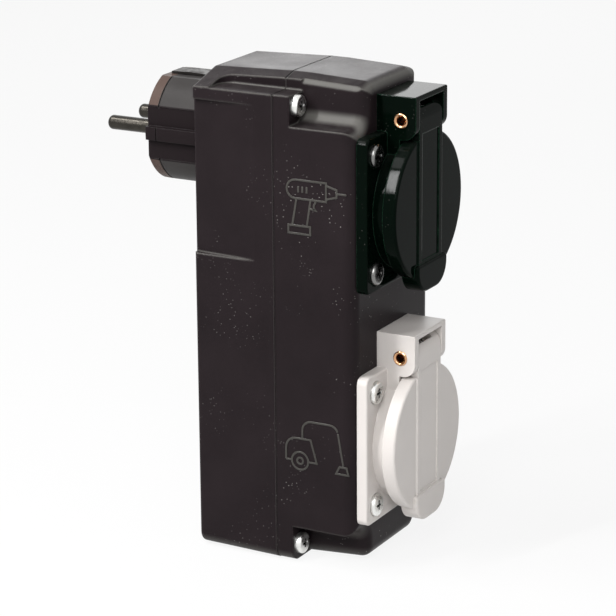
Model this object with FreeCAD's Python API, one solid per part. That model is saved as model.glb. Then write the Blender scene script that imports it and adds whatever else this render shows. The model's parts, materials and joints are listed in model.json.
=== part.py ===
import FreeCAD, Part
import math
import os

from FreeCAD import Vector

# An automatic switch unit that hangs in a wall outlet by its own plug.
# A power tool plugs into the upper, black socket and a vacuum cleaner into the lower, grey one.
# The origin is the middle of the plug's face, between its two pins.
# +Y points into the wall outlet, +Z is up, and both sockets face -Y. Every size is in millimetres.

# Housing: two moulded shells that meet at a seam parallel to the wall
housing_width = 54.6
housing_depth = 57.7
housing_height = 160.2
plug_reach = 23.0
ridge_above_plug = 24.5
front_shell_depth = 28.5
web_thickness = 5.9
wall = 2.4
front_top_draft = 1.0
front_bottom_draft = 1.6
back_top_draft = 1.0
back_bottom_draft = 0.5
front_edge_radius = 4.0
front_side_step = 0.3
back_edge_radius = 1.4
bottom_corner_radius = 4.0
inner_corner_radius = 1.5

# Roof and cap: a flat ridge whose sides fall away, and the narrower cap with a ledge on each side
cap_side_step = 9.3
ridge_inside_cap = 5.0
roof_fall = 4.0
ledge_below_ridge = 5.0
ledge_back_margin = 6.5
ledge_corner_radius = 4.0
ledge_inner_radius = 0.6
cap_bevel_width = 0.9
cap_bevel_height = 1.5

# Notches at the front corners, which let a screwdriver reach the shell screws
top_notch_depth = 14.7
bottom_notch_depth = 12.4
bottom_side_step = 9.3
notch_fillet = 5.0
spine_corner_radius = 4.6

# Shallow finger recess that fades out on each side of the rear shell
side_recess_top_below_ridge = 9.0
side_recess_height = 50.5
side_recess_length = 22.5
side_recess_depth = 2.0

# Shell screws
shell_screw_inset_x = 4.8
top_shell_screw_below_ridge = 8.7
bottom_shell_screw_above_base = 5.5
shell_screw_head_radius = 3.5
shell_screw_head_height = 2.2
shell_screw_radius = 1.75
shell_screw_length = 16.0
shell_boss_radius = 3.6
shell_boss_extra = 1.5
shell_hole_floor = 0.8

# Wall plug: a round body with guide channels, two pins and two earth strips
plug_radius = 18.8
plug_rim_length = 4.0
plug_rim_taper = 0.2
plug_rim_edge_radius = 0.5
plug_groove_width = 0.5
plug_groove_depth = 0.4
plug_guide_inner = 2.2
plug_guide_outer = 8.6
plug_guide_across = 16.5
plug_flat_across = 17.0
plug_flange_radius = 20.6
plug_flange_thickness = 3.0
pin_spacing = 19.0
pin_radius = 2.4
pin_length = 19.0
pin_tip_radius = 1.5
pin_shank_radius = 2.8
pin_shank_inside = 8.0
pin_terminal_radius = 3.3
pin_terminal_length = 6.0
earth_strip_width = 7.0
earth_strip_thickness = 0.8
earth_strip_bow = 0.3
earth_strip_bend = 1.0
earth_strip_behind_face = 1.5
plug_boss_angle = 34.0
plug_boss_gap = 0.3
plug_boss_radius = 2.0
plug_screw_head_radius = 2.9
plug_screw_head_height = 1.6
plug_screw_radius = 1.1
plug_screw_length = 4.6

# Panel sockets with hinged lids
upper_socket_below_plug = 17.3
lower_socket_above_base = 41.0
flange_size = 50.0
flange_thickness = 3.6
flange_corner_radius = 2.5
flange_edge_radius = 0.6
flange_hole_spacing = 38.0
flange_screw_radius = 1.5
flange_screw_length = 12.0
flange_screw_head_radius = 3.7
flange_screw_head_height = 1.3
flange_screw_sink = 1.0
flange_boss_radius = 4.0
flange_boss_length = 11.5
collar_radius = 21.1
collar_height = 8.3
recess_radius = 19.6
recess_depth = 17.5
cup_floor = 2.5
socket_guide_inner = 2.7
socket_guide_outer = 7.6
socket_guide_across = 17.2
socket_guide_mouth_gap = 1.5
pin_hole_radius = 2.9
gasket_thickness = 0.8
gasket_size = 46.0
gasket_corner_radius = 2.0

# Contacts behind each recess
contact_block_width = 34.0
contact_block_height = 18.0
contact_block_depth = 11.7
contact_block_corner = 3.0
sleeve_radius = 3.4
sleeve_bore_radius = 2.45
sleeve_length = 13.0
sleeve_slit = 0.8
sleeve_floor = 3.0
clip_width = 6.0
clip_thickness = 0.8
clip_reach = 18.4
clip_bow = 1.3
clip_flare = 0.2
clip_bend = 1.0
clip_base_gap = 0.8
clip_mouth_gap = 2.0

# Hinge block on the socket's flange, with two cheeks and a top plate
block_width = 22.2
block_front = 13.6
block_top = 36.7
block_bottom = 22.8
block_corner_radius = 4.2
block_edge_radius = 0.5
block_seat = 8.0
cheek_thickness = 2.7
top_plate_thickness = 1.5
hinge_back_wall = 2.6
hinge_out = 8.4
hinge_up = 28.9
hinge_pin_radius = 2.0
hinge_pin_bore = 1.4
hinge_pin_head_radius = 2.45
hinge_pin_head_height = 0.5

# Spring-closed lid
lid_radius = 24.0
lid_face_out = 12.9
lid_wall = 1.8
lid_back_out = 8.4
lid_edge_radius = 0.8
lid_top_cut = 22.2
rib_out = 13.4
rib_half_width = 8.2
arm_thickness = 2.7
arm_side_gap = 0.3
knuckle_thickness = 3.6
knuckle_skin = 1.5
panel_half_width = 6.0
panel_top = 24.2
panel_bottom = -17.0
panel_sink = 0.4
tab_half_width = 10.4
tab_top = -17.8
tab_bottom = -27.3
tab_out = 14.4
tab_wall = 1.6
tab_corner_radius = 7.5
lid_seal_width = 3.4
lid_seal_gap = 0.2
lid_seal_thickness = 1.8

# Torsion spring round each hinge pin
spring_wire = 0.7
spring_mean_radius = 2.8
spring_pitch = 1.25
spring_turns = 3
spring_leg_length = 3.2

# Circuit board and what it carries. A place is a share of the board's half width, from its middle,
# and a share of its height, from its top edge. Heights are shares of the board's height,
# and a depth share is taken of the room between the board and the wires in front of it.
board_side_clearance = 1.9
board_above_base = 11.2
board_thickness = 1.6
board_top_below_plug = 24.5
board_corner_radius = 1.5
board_post_length = 6.4
board_post_radius = 3.2
board_hole_inset = 4.0
board_screw_radius = 1.2
board_screw_length = 6.0
board_screw_head_radius = 2.5
board_screw_head_height = 1.7
relay_width = 12.7
relay_height_share = 0.29
relay_depth_share = 1.0
relay_place = (0.39, 0.525)
relay_corner_radius = 1.0
film_capacitor_width = 9.0
film_capacitor_height_share = 0.25
film_capacitor_depth_share = 0.955
film_capacitor_place = (-0.565, 0.55)
film_capacitor_corner_radius = 0.8
terminal_width_share = 0.65
terminal_height_share = 0.1
terminal_depth_share = 0.765
terminal_place = (0.0, 0.12)
terminal_corner_radius = 0.6
terminal_poles = 5
terminal_well_radius = 1.6
terminal_well_depth = 4.0
transformer_place = (-0.587, 0.285)
transformer_radius_share = 0.445
transformer_bore_share = 0.5
transformer_height_share = 0.08
transformer_foot_width = 10.0
transformer_foot_depth = 3.0
transformer_gap = 1.0
fuse_place = (0.565, 0.275)
fuse_cap_radius = 2.6
fuse_glass_radius = 2.35
fuse_length_share = 0.2
fuse_cap_share = 0.25
fuse_height_over_board = 6.0
fuse_clip_thickness = 0.7
fuse_clip_width = 3.4
fuse_clip_mouth = 3.6
fuse_clip_stem = 2.4
varistor_place = (-0.652, 0.785)
varistor_radius_share = 0.445
varistor_thickness = 4.0
varistor_gap = 1.0
varistor_leg_radius = 0.5
electrolytic_place = (0.478, 0.825)
electrolytic_radius_share = 0.4
electrolytic_length_share = 0.2
electrolytic_groove_depth = 0.5
electrolytic_groove_width = 0.8
electrolytic_groove_above_base = 2.5
chip_width = 6.4
chip_height_share = 0.096
chip_depth_share = 0.217
chip_place = (-0.13, 0.745)
resistor_radius = 1.2
resistor_height_share = 0.07
resistor_count = 4
resistor_first_place = (-0.565, 0.925)
resistor_step_share = 0.217
resistor_gap = 0.4
lead_half = 0.3
lead_inset = 0.6

# Insulated internal wires. The lane is the room behind the sockets' contacts.
wire_flat_count = 8
wire_radius = 1.3
earth_wire_radius = 1.4
wire_straight = 5.5
terminal_exit = 3.0
transformer_entry = 2.5
earth_wire_drop = 8.0
lane_behind_sleeves = 3.0
lane_drop = 9.0
lane_to_parts = 2.6
past_ring_x = 3.6
past_ring_behind_lane = 5.0
past_ring_drop = 9.0
in_lane_x = 6.0

# The most of the shorter side that a rounded corner may use
corner_share = 0.78

# Clearances
pivot_clearance = 0.05
press_clearance = 0.02
seat_clearance = 0.3
hole_clearance = 0.15
pilot_run_out = 0.4

# Positions that follow from the sizes above
half_width = housing_width / 2
front_half_width = half_width - front_side_step
back_y = -plug_reach
front_y = back_y - housing_depth
seam_y = front_y + front_shell_depth
web_y = seam_y - web_thickness
top_z = ridge_above_plug
base_z = top_z - housing_height
ledge_z = top_z - ledge_below_ridge
ledge_back_y = back_y - ledge_back_margin
top_notch_z = top_z - top_notch_depth
bottom_notch_z = base_z + bottom_notch_depth
half_cap = half_width - cap_side_step
half_ridge = half_cap - ridge_inside_cap
half_spine = half_width - bottom_side_step
upper_socket_z = -upper_socket_below_plug
lower_socket_z = base_z + lower_socket_above_base
shell_screw_x = half_width - shell_screw_inset_x
shell_screw_zs = (top_z - top_shell_screw_below_ridge, base_z + bottom_shell_screw_above_base)
flange_hole = flange_hole_spacing / 2
recess_floor = recess_depth - collar_height
cup_back = recess_floor + cup_floor
half_pins = pin_spacing / 2
inside_y = back_y - wall
board_back_y = inside_y - board_post_length
board_face_y = board_back_y - board_thickness
board_top_z = -board_top_below_plug
board_width = housing_width - 2 * (wall + board_side_clearance)
board_height = board_top_z - base_z - board_above_base
lane_y = front_y + cup_back + sleeve_length + lane_behind_sleeves
part_room = board_face_y - lane_y - wire_radius - lane_to_parts
transformer_radius = transformer_radius_share * part_room
transformer_height = transformer_height_share * board_height
plug_boss_distance = plug_flange_radius + plug_boss_radius + plug_boss_gap


def box_between(x_low, x_high, y_low, y_high, z_low, z_high):
    corner = Vector(x_low, y_low, z_low)
    return Part.makeBox(x_high - x_low, y_high - y_low, z_high - z_low, corner)


def round_y(radius, y_low, y_high, x=0.0, z=0.0):
    return Part.makeCylinder(radius, y_high - y_low, Vector(x, y_low, z), Vector(0, 1, 0))


def round_x(radius, x_low, x_high, y=0.0, z=0.0):
    return Part.makeCylinder(radius, x_high - x_low, Vector(x_low, y, z), Vector(1, 0, 0))


def round_z(radius, z_low, z_high, x=0.0, y=0.0):
    return Part.makeCylinder(radius, z_high - z_low, Vector(x, y, z_low), Vector(0, 0, 1))


def joined(shapes):
    first = shapes[0]
    if len(shapes) > 1:
        first = first.fuse(list(shapes[1:]))
    return first.removeSplitter()


def rounded_corner(before, corner, after, radius):
    """Where an arc leaves and meets the two sides of one corner, and its middle point."""
    to_before = (before - corner).normalize()
    to_after = (after - corner).normalize()
    half_angle = to_before.getAngle(to_after) / 2
    room = corner_share * min((before - corner).Length, (after - corner).Length)
    setback = min(radius / math.tan(half_angle), room)
    true_radius = setback * math.tan(half_angle)
    inward = (to_before + to_after).normalize()
    centre = corner + inward * (true_radius / math.sin(half_angle))
    return corner + to_before * setback, centre - inward * true_radius, corner + to_after * setback


def outline(corners, place):
    """A closed wire through flat corners (a, b, radius), put in space by the function place."""
    count = len(corners)
    flat = [Vector(a, b, 0) for a, b, _ in corners]
    stretches = []
    for index, (_, _, radius) in enumerate(corners):
        corner = flat[index]
        if radius > 0:
            stretches.append(rounded_corner(flat[index - 1], corner, flat[(index + 1) % count], radius))
        else:
            stretches.append((corner, None, corner))
    edges = []
    for index, (start, middle, end) in enumerate(stretches):
        if middle is not None:
            edges.append(Part.Arc(place(start), place(middle), place(end)).toShape())
        following = stretches[(index + 1) % count][0]
        if (following - end).Length > 1e-6:
            edges.append(Part.makeLine(place(end), place(following)))
    return Part.Wire(edges)


def prism_xz(corners, y_low, y_high):
    wire = outline(corners, lambda p: Vector(p.x, y_low, p.y))
    return Part.Face(wire).extrude(Vector(0, y_high - y_low, 0))


def prism_yz(corners, x_low, x_high):
    wire = outline(corners, lambda p: Vector(x_low, p.x, p.y))
    return Part.Face(wire).extrude(Vector(x_high - x_low, 0, 0))


def prism_xy(corners, z_low, z_high):
    wire = outline(corners, lambda p: Vector(p.x, p.y, z_low))
    return Part.Face(wire).extrude(Vector(0, 0, z_high - z_low))


def loft_xz(sections):
    """A straight-sided solid through outlines in planes across Y, given as (y, corners)."""
    wires = []
    for y, corners in sections:
        wires.append(outline(corners, lambda p, y=y: Vector(p.x, y, p.y)))
    return Part.makeLoft(wires, True, True)


def mirrored(right_side):
    """Corners of the right half, from bottom to top, followed by their mirror images."""
    left_side = [(-a, b, radius) for a, b, radius in reversed(right_side)]
    return right_side + left_side


def rectangle(half_x, z_low, z_high, radius):
    return mirrored([(half_x, z_low, radius), (half_x, z_high, radius)])


def turned_about_y(profile):
    """A solid turned about the Y axis from corners (radius, y, corner radius)."""
    wire = outline(profile, lambda p: Vector(p.x, p.y, 0))
    return Part.Face(wire).revolve(Vector(0, 0, 0), Vector(0, 1, 0), 360)


def edges_in_plane_y(shape, y):
    """The edges of a shape that lie wholly in the plane at this y."""
    found = []
    for edge in shape.Edges:
        middle = edge.valueAt((edge.FirstParameter + edge.LastParameter) / 2)
        points = [vertex.Point for vertex in edge.Vertexes] + [middle]
        if all(abs(point.y - y) < 1e-5 for point in points):
            found.append(edge)
    return found


def bent_strip(path, thickness, width, bend_radius):
    """A strip of sheet metal bent along a path of (y, z) points, centred on X = 0."""
    points = [Vector(y, z, 0) for y, z in path]
    last = len(points) - 1
    left_side = []
    right_side = []
    for index, point in enumerate(points):
        before = points[max(index - 1, 0)]
        after = points[min(index + 1, last)]
        if index == 0:
            before = point - (after - point)
        if index == last:
            after = point + (point - before)
        way_in = (point - before).normalize()
        way_out = (after - point).normalize()
        across_in = Vector(-way_in.y, way_in.x, 0)
        across_out = Vector(-way_out.y, way_out.x, 0)
        mitre = (across_in + across_out).normalize()
        reach = thickness / 2 / mitre.dot(across_in)
        turn = way_in.x * way_out.y - way_in.y * way_out.x
        left_radius = 0.0
        right_radius = 0.0
        if 0 < index < last:
            left_radius = bend_radius if turn > 0 else bend_radius + thickness
            right_radius = bend_radius + thickness if turn > 0 else bend_radius
        left = point + mitre * reach
        right = point - mitre * reach
        left_side.append((left.x, left.y, left_radius))
        right_side.append((right.x, right.y, right_radius))
    corners = left_side + right_side[::-1]
    return prism_yz(corners, -width / 2, width / 2)


def wire_section(radius, centre, way):
    """The section of a round wire, drawn with flats of equal width."""
    circle = Part.makeCircle(radius, centre, way)
    return Part.makePolygon(circle.discretize(wire_flat_count + 1))


def wire_along(points, radius):
    """An insulated wire: straight runs joined by arcs as large as the runs allow."""
    route = [Vector(*point) for point in points]
    edges = []
    start = route[0]
    for index in range(1, len(route) - 1):
        corner = route[index]
        before = route[index - 1]
        after = route[index + 1]
        turn = math.pi - (before - corner).getAngle(after - corner)
        shorter = min((before - corner).Length, (after - corner).Length)
        arc_radius = 0.45 * shorter / math.tan(turn / 2)
        arc_start, arc_middle, arc_end = rounded_corner(before, corner, after, arc_radius)
        edges.append(Part.makeLine(start, arc_start))
        edges.append(Part.Arc(arc_start, arc_middle, arc_end).toShape())
        start = arc_end
    edges.append(Part.makeLine(start, route[-1]))
    section = wire_section(radius, route[0], route[1] - route[0])
    return Part.Wire(edges).makePipeShell([section], True, False)


def arc_from_tangents(start, meeting, end):
    """The arc from start to end whose two end tangents meet at one point."""
    chord_middle = (start + end) * 0.5
    to_meeting = (meeting - chord_middle).normalize()
    half_chord = (end - start).Length / 2
    chord_angle = (meeting - start).getAngle(end - start)
    middle = chord_middle + to_meeting * (half_chord * math.tan(chord_angle / 2))
    return Part.Arc(start, middle, end).toShape()


def two_arcs(start, start_way, end, end_way):
    """Two arcs that leave start and reach end along the given directions."""
    span = end - start
    ways = start_way + end_way
    square = ways.dot(ways) - 4
    middle_term = -2 * span.dot(ways)
    root = math.sqrt(middle_term * middle_term - 4 * square * span.dot(span))
    reach = (-middle_term - root) / (2 * square)
    first_meeting = start + start_way * reach
    second_meeting = end - end_way * reach
    joint = (first_meeting + second_meeting) * 0.5
    return [arc_from_tangents(start, first_meeting, joint), arc_from_tangents(joint, second_meeting, end)]


def headed_screw(head_radius, head_height, shank_radius, length):
    """A screw along +Y whose head's underside is at y = 0 and points to -Y."""
    profile = [
        (0, -head_height, 0),
        (head_radius, -head_height, 0),
        (head_radius, 0, 0),
        (shank_radius, 0, 0),
        (shank_radius, length - shank_radius, 0),
        (0, length, 0),
    ]
    return turned_about_y(profile)


def group(shapes):
    return Part.makeCompound(shapes)


def moved(shape, x=0.0, y=0.0, z=0.0):
    copy = shape.copy()
    copy.translate(Vector(x, y, z))
    return copy


def save(node, shape):
    shape.exportStep("parts/" + node + ".step")


# Housing

def roof_z(x, z_high):
    """The height of the roof's sloping side at x, where the ridge stands at z_high."""
    return z_high - roof_fall * (x - half_ridge) / (half_width - half_ridge)


def shell_outline(half, z_low, z_high):
    """The outline of a shell near the seam, which reaches half to each side."""
    right_side = [
        (half, z_low, bottom_corner_radius),
        (half, roof_z(half, z_high), 0),
        (half_ridge, z_high, 0),
    ]
    return mirrored(right_side)


def ledge_cuts(y_low, y_high):
    """What is cut from both upper corners to leave the narrower cap and its side ledges."""
    cuts = []
    for side in (-1, 1):
        inner = side * half_cap
        outer = side * (half_width + 1)
        corner = [(inner, ledge_z, ledge_inner_radius), (outer, ledge_z, 0),
                  (outer, top_z + 1, 0), (inner, top_z + 1, 0)]
        across = prism_xz(corner, y_low, y_high)
        plan = [(inner, y_low, 0), (outer, y_low, 0),
                (outer, y_high, 0), (inner, y_high, ledge_corner_radius)]
        cuts.append(across.common(prism_xy(plan, ledge_z - 1, top_z + 1)))
    return cuts


def side_recess_cuts():
    """Wedges that start at the back edge and fade out towards the front."""
    cuts = []
    z_high = top_z - side_recess_top_below_ridge
    for side in (-1, 1):
        face = side * half_width
        outer = side * (half_width + 1)
        deep = side * (half_width - side_recess_depth)
        plan = [(face, back_y - side_recess_length, 0), (outer, back_y - side_recess_length, 0),
                (outer, back_y + 1, 0), (deep, back_y + 1, 0)]
        cuts.append(prism_xy(plan, z_high - side_recess_height, z_high))
    return cuts


def screw_places():
    return [(side * shell_screw_x, z) for z in shell_screw_zs for side in (-1, 1)]


def rear_shell():
    z_low_back = base_z + back_bottom_draft
    z_high_back = top_z - back_top_draft
    seam_section = shell_outline(half_width, base_z, top_z)
    back_section = shell_outline(half_width, z_low_back, z_high_back)
    outer = loft_xz([(seam_y, seam_section), (back_y, back_section)])
    outer = outer.makeFillet(back_edge_radius, edges_in_plane_y(outer, back_y))
    outer = outer.cut(ledge_cuts(seam_y - 1, ledge_back_y) + side_recess_cuts())
    inner_right = [
        (half_width - wall, z_low_back + wall, bottom_corner_radius - wall),
        (half_width - wall, ledge_z - wall, inner_corner_radius),
        (half_cap - wall, ledge_z - wall, 0),
        (half_cap - wall, z_high_back - wall, inner_corner_radius),
    ]
    cavity = prism_xz(mirrored(inner_right), seam_y - 1, inside_y)
    shell = outer.cut(cavity)
    boss_end = web_y + shell_screw_length + shell_boss_extra
    posts = [round_y(shell_boss_radius, seam_y, boss_end, x, z) for x, z in screw_places()]
    for x, z in plug_boss_places():
        posts.append(round_y(plug_boss_radius, inside_y - plug_flange_thickness, inside_y + wall / 2, x, z))
    for x, z in board_hole_places():
        posts.append(round_y(board_post_radius, board_back_y, inside_y + wall / 2, x, z))
    shell = shell.fuse(group(posts).common(outer))
    holes = [round_y(plug_radius + seat_clearance, inside_y - 1, back_y + 1)]
    for x, z in screw_places():
        hole_end = boss_end - shell_hole_floor
        holes.append(round_y(shell_screw_radius + press_clearance, seam_y - 1, hole_end, x, z))
    plug_boss_y = inside_y - plug_flange_thickness
    for x, z in plug_boss_places():
        hole_end = plug_boss_y + plug_screw_length + pilot_run_out
        holes.append(round_y(plug_screw_radius + press_clearance, plug_boss_y - 1, hole_end, x, z))
    for x, z in board_hole_places():
        hole_end = board_face_y + board_screw_length + pilot_run_out
        holes.append(round_y(board_screw_radius + press_clearance, board_back_y - 1, hole_end, x, z))
    return shell.cut(holes).removeSplitter()


def front_outline(z_low, z_high):
    right_side = [
        (half_spine, z_low, spine_corner_radius),
        (half_spine, bottom_notch_z, notch_fillet),
        (front_half_width, bottom_notch_z, 0),
        (front_half_width, top_notch_z, 0),
        (half_cap, top_notch_z, notch_fillet),
        (half_cap, roof_z(half_cap, z_high), 0),
        (half_ridge, z_high, 0),
    ]
    return mirrored(right_side)


def cap_bevel_section(side, z_high):
    inner = half_cap - cap_bevel_width
    low_z = roof_z(inner, z_high) - cap_bevel_height
    return [(side * half_cap, low_z, 0), (side * inner, roof_z(inner, z_high), 0),
            (side * inner, top_z + 1, 0), (side * (half_cap + 1), top_z + 1, 0),
            (side * (half_cap + 1), low_z, 0)]


def cap_bevel_cuts():
    """The bevel along both side edges of the front cap."""
    cuts = []
    for side in (-1, 1):
        front_section = cap_bevel_section(side, top_z - front_top_draft)
        cuts.append(loft_xz([(front_y, front_section), (web_y, cap_bevel_section(side, top_z))]))
    return cuts


def socket_centres():
    return (upper_socket_z, lower_socket_z)


def flange_hole_places():
    return [(x, z) for z in (-flange_hole, flange_hole) for x in (-flange_hole, flange_hole)]


def front_shell():
    z_low_front = base_z + front_bottom_draft
    z_high_front = top_z - front_top_draft
    front_corners = front_outline(z_low_front, z_high_front)
    nose = loft_xz([(front_y, front_corners), (web_y, front_outline(base_z, top_z))])
    nose = nose.makeFillet(front_edge_radius, edges_in_plane_y(nose, front_y))
    nose = nose.cut(cap_bevel_cuts())
    web = prism_xz(shell_outline(front_half_width, base_z, top_z), web_y, seam_y)
    web = web.cut(ledge_cuts(web_y - 1, ledge_back_y))
    outer = nose.fuse(web)
    inner_right = [
        (half_spine - wall, z_low_front + wall, inner_corner_radius),
        (half_spine - wall, bottom_notch_z + wall, 0),
        (front_half_width - wall, bottom_notch_z + wall, inner_corner_radius),
        (front_half_width - wall, top_notch_z - wall, inner_corner_radius),
        (half_cap - wall, top_notch_z - wall, 0),
        (half_cap - wall, z_high_front - wall, inner_corner_radius),
    ]
    cavity = prism_xz(mirrored(inner_right), front_y + wall, seam_y + 1)
    shell = outer.cut(cavity)
    bosses = []
    holes = []
    for centre in socket_centres():
        holes.append(round_y(collar_radius + seat_clearance, front_y - 1, front_y + wall + 1, 0, centre))
        boss_end = front_y + flange_boss_length
        hole_radius = flange_screw_radius + press_clearance
        for x, z in flange_hole_places():
            bosses.append(round_y(flange_boss_radius, front_y + wall / 2, boss_end, x, centre + z))
            holes.append(round_y(hole_radius, front_y - 1, boss_end + 1, x, centre + z))
    for x, z in screw_places():
        holes.append(round_y(shell_screw_radius + hole_clearance, web_y - 1, seam_y + 1, x, z))
    return shell.fuse(bosses).cut(holes).removeSplitter()


def shell_screws():
    screw = headed_screw(shell_screw_head_radius, shell_screw_head_height, shell_screw_radius,
                         shell_screw_length)
    return group([moved(screw, x, web_y, z) for x, z in screw_places()])


# Plug

def plug_boss_places():
    """Four places on a circle just outside the plug's flange."""
    angle = math.radians(plug_boss_angle)
    x = plug_boss_distance * math.cos(angle)
    z = plug_boss_distance * math.sin(angle)
    return [(side * x, up * z) for up in (-1, 1) for side in (-1, 1)]


def plug_body():
    rim_radius = plug_radius - plug_rim_taper
    flange_front = inside_y - plug_flange_thickness
    groove_radius = plug_radius - plug_groove_depth
    groove_back = -plug_rim_length - plug_groove_width
    profile = [
        (0, flange_front, 0),
        (plug_flange_radius, flange_front, 0),
        (plug_flange_radius, inside_y, 0),
        (plug_radius, inside_y, 0),
        (plug_radius, groove_back, 0),
        (groove_radius, groove_back, 0),
        (groove_radius, -plug_rim_length, 0),
        (plug_radius, -plug_rim_length, 0),
        (rim_radius, 0, plug_rim_edge_radius),
        (0, 0, 0),
    ]
    body = turned_about_y(profile)
    cuts = []
    far = plug_radius + 1
    for side in (-1, 1):
        x_low, x_high = sorted((side * plug_guide_across, side * far))
        for low, high in ((plug_guide_inner, plug_guide_outer), (-plug_guide_outer, -plug_guide_inner)):
            cuts.append(box_between(x_low, x_high, inside_y, 1, low, high))
        z_low, z_high = sorted((side * plug_flat_across, side * far))
        cuts.append(box_between(-far, far, inside_y, 1, z_low, z_high))
        slot_far = plug_flat_across + 2 * earth_strip_thickness
        slot_low, slot_high = sorted((side * plug_flat_across, side * slot_far))
        half_slot = earth_strip_width / 2 + hole_clearance
        cuts.append(box_between(-half_slot, half_slot, flange_front - 1, inside_y + 1, slot_low, slot_high))
        cuts.append(round_y(pin_shank_radius + press_clearance, flange_front - 1, 1, side * half_pins))
    return body.cut(cuts).removeSplitter()


def plug_pins():
    """Two round pins, each with a thicker shank inside the plug and a terminal behind it."""
    flange_front = inside_y - plug_flange_thickness
    shank_end = flange_front - pin_shank_inside
    profile = [
        (0, shank_end, 0),
        (pin_terminal_radius, shank_end, 0),
        (pin_terminal_radius, shank_end + pin_terminal_length, 0),
        (pin_shank_radius, shank_end + pin_terminal_length, 0),
        (pin_shank_radius, 0, 0),
        (pin_radius, 0, 0),
        (pin_radius, pin_length, pin_tip_radius),
        (0, pin_length, 0),
    ]
    pin = turned_about_y(profile)
    return group([moved(pin, side * half_pins) for side in (-1, 1)])


def plug_earth_contacts():
    """One bent strip: a contact on the plug's top, a bridge behind its flange and one below."""
    flange_front = inside_y - plug_flange_thickness
    level = plug_flat_across + earth_strip_thickness / 2 + press_clearance
    bridge_y = flange_front - earth_strip_thickness - earth_strip_bend
    upper = [
        (-earth_strip_behind_face, level),
        (-plug_reach * 0.35, level + earth_strip_bow),
        (-plug_reach * 0.7, level),
        (bridge_y, level),
    ]
    lower = [(y, -z) for y, z in reversed(upper)]
    return bent_strip(upper + lower, earth_strip_thickness, earth_strip_width, earth_strip_bend)


def plug_screws():
    screw = headed_screw(plug_screw_head_radius, plug_screw_head_height, plug_screw_radius,
                         plug_screw_length)
    return group([moved(screw, x, inside_y - plug_flange_thickness, z) for x, z in plug_boss_places()])


# Sockets: each piece is made round the socket's centre, with the housing's front face at y = 0

def hinge_block():
    half_block = block_width / 2
    side_view = [
        (0, recess_radius, 0),
        (0, block_top, 0),
        (-block_front, block_top, block_edge_radius),
        (-block_front, block_bottom, block_corner_radius),
        (-block_seat, block_bottom, 0),
        (-block_seat, recess_radius - 4, 0),
        (-flange_thickness / 2, recess_radius - 4, 0),
    ]
    block = prism_yz(side_view, -half_block, half_block)
    half_slot = half_block - cheek_thickness
    slot = box_between(-half_slot, half_slot, -block_front - 1, -hinge_back_wall,
                       block_bottom, block_top - top_plate_thickness)
    return block.cut(slot)


def socket_body():
    half_flange = flange_size / 2
    corners = rectangle(half_flange, -half_flange, half_flange, flange_corner_radius)
    flange = prism_xz(corners, -flange_thickness, 0)
    flange = flange.makeFillet(flange_edge_radius, edges_in_plane_y(flange, -flange_thickness))
    collar = round_y(collar_radius, -collar_height, cup_back)
    body = joined([flange, collar, hinge_block()])
    rebate_half = gasket_size / 2 + hole_clearance
    rebate = box_between(-rebate_half, rebate_half, -gasket_thickness, 0, -rebate_half, rebate_half)
    cuts = [round_y(recess_radius, -collar_height - 1, recess_floor)]
    cuts.append(rebate.cut(round_y(collar_radius, -gasket_thickness - 1, 1)))
    for x, z in flange_hole_places():
        cuts.append(round_y(flange_screw_radius + hole_clearance, -flange_thickness - 1, 1, x, z))
        cuts.append(round_y(flange_screw_head_radius + hole_clearance, -flange_thickness - 1,
                            flange_screw_sink - flange_thickness, x, z))
    for side in (-1, 1):
        cuts.append(round_y(pin_hole_radius, recess_floor - 1, cup_back + 1, side * half_pins))
        clip_low = clip_reach - clip_thickness
        clip_high = clip_reach + clip_thickness
        z_low, z_high = sorted((side * clip_low, side * clip_high))
        half_slot = clip_width / 2 + seat_clearance
        cuts.append(box_between(-half_slot, half_slot, recess_floor - 1, cup_back + 1, z_low, z_high))
    cuts.append(round_x(hinge_pin_radius + press_clearance, -block_width, block_width, -hinge_out, hinge_up))
    body = body.cut(cuts)
    guides = []
    for side in (-1, 1):
        x_low, x_high = sorted((side * socket_guide_across, side * (recess_radius + 0.5)))
        for up in (-1, 1):
            low, high = sorted((up * socket_guide_inner, up * socket_guide_outer))
            guides.append(box_between(x_low, x_high, socket_guide_mouth_gap - collar_height,
                                      recess_floor + 0.5, low, high))
    within_collar = round_y((collar_radius + recess_radius) / 2, -collar_height, cup_back)
    return joined([body] + [guide.common(within_collar) for guide in guides])


def socket_gasket():
    half = gasket_size / 2
    sheet = prism_xz(rectangle(half, -half, half, gasket_corner_radius), -gasket_thickness, 0)
    holes = [round_y(collar_radius + hole_clearance, -gasket_thickness - 1, 1)]
    for x, z in flange_hole_places():
        holes.append(round_y(flange_screw_radius + hole_clearance, -gasket_thickness - 1, 1, x, z))
    return sheet.cut(holes)


def contact_block():
    half_height = contact_block_height / 2
    corners = rectangle(contact_block_width / 2, -half_height, half_height, contact_block_corner)
    block = prism_xz(corners, cup_back, cup_back + contact_block_depth)
    bores = []
    bore_radius = sleeve_radius + press_clearance
    bore_end = cup_back + contact_block_depth + 1
    for side in (-1, 1):
        bores.append(round_y(bore_radius, cup_back - 1, bore_end, side * half_pins))
    return block.cut(bores)


def contact_sleeves():
    sleeve_back = cup_back + sleeve_length
    tube = round_y(sleeve_radius, cup_back, sleeve_back)
    bore = round_y(sleeve_bore_radius, cup_back - 1, sleeve_back - sleeve_floor)
    slit = box_between(-sleeve_slit / 2, sleeve_slit / 2, cup_back - 1, sleeve_back - sleeve_floor - 1,
                       0, sleeve_radius + 1)
    sleeve = tube.cut([bore, slit])
    return group([moved(sleeve, side * half_pins) for side in (-1, 1)])


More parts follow.
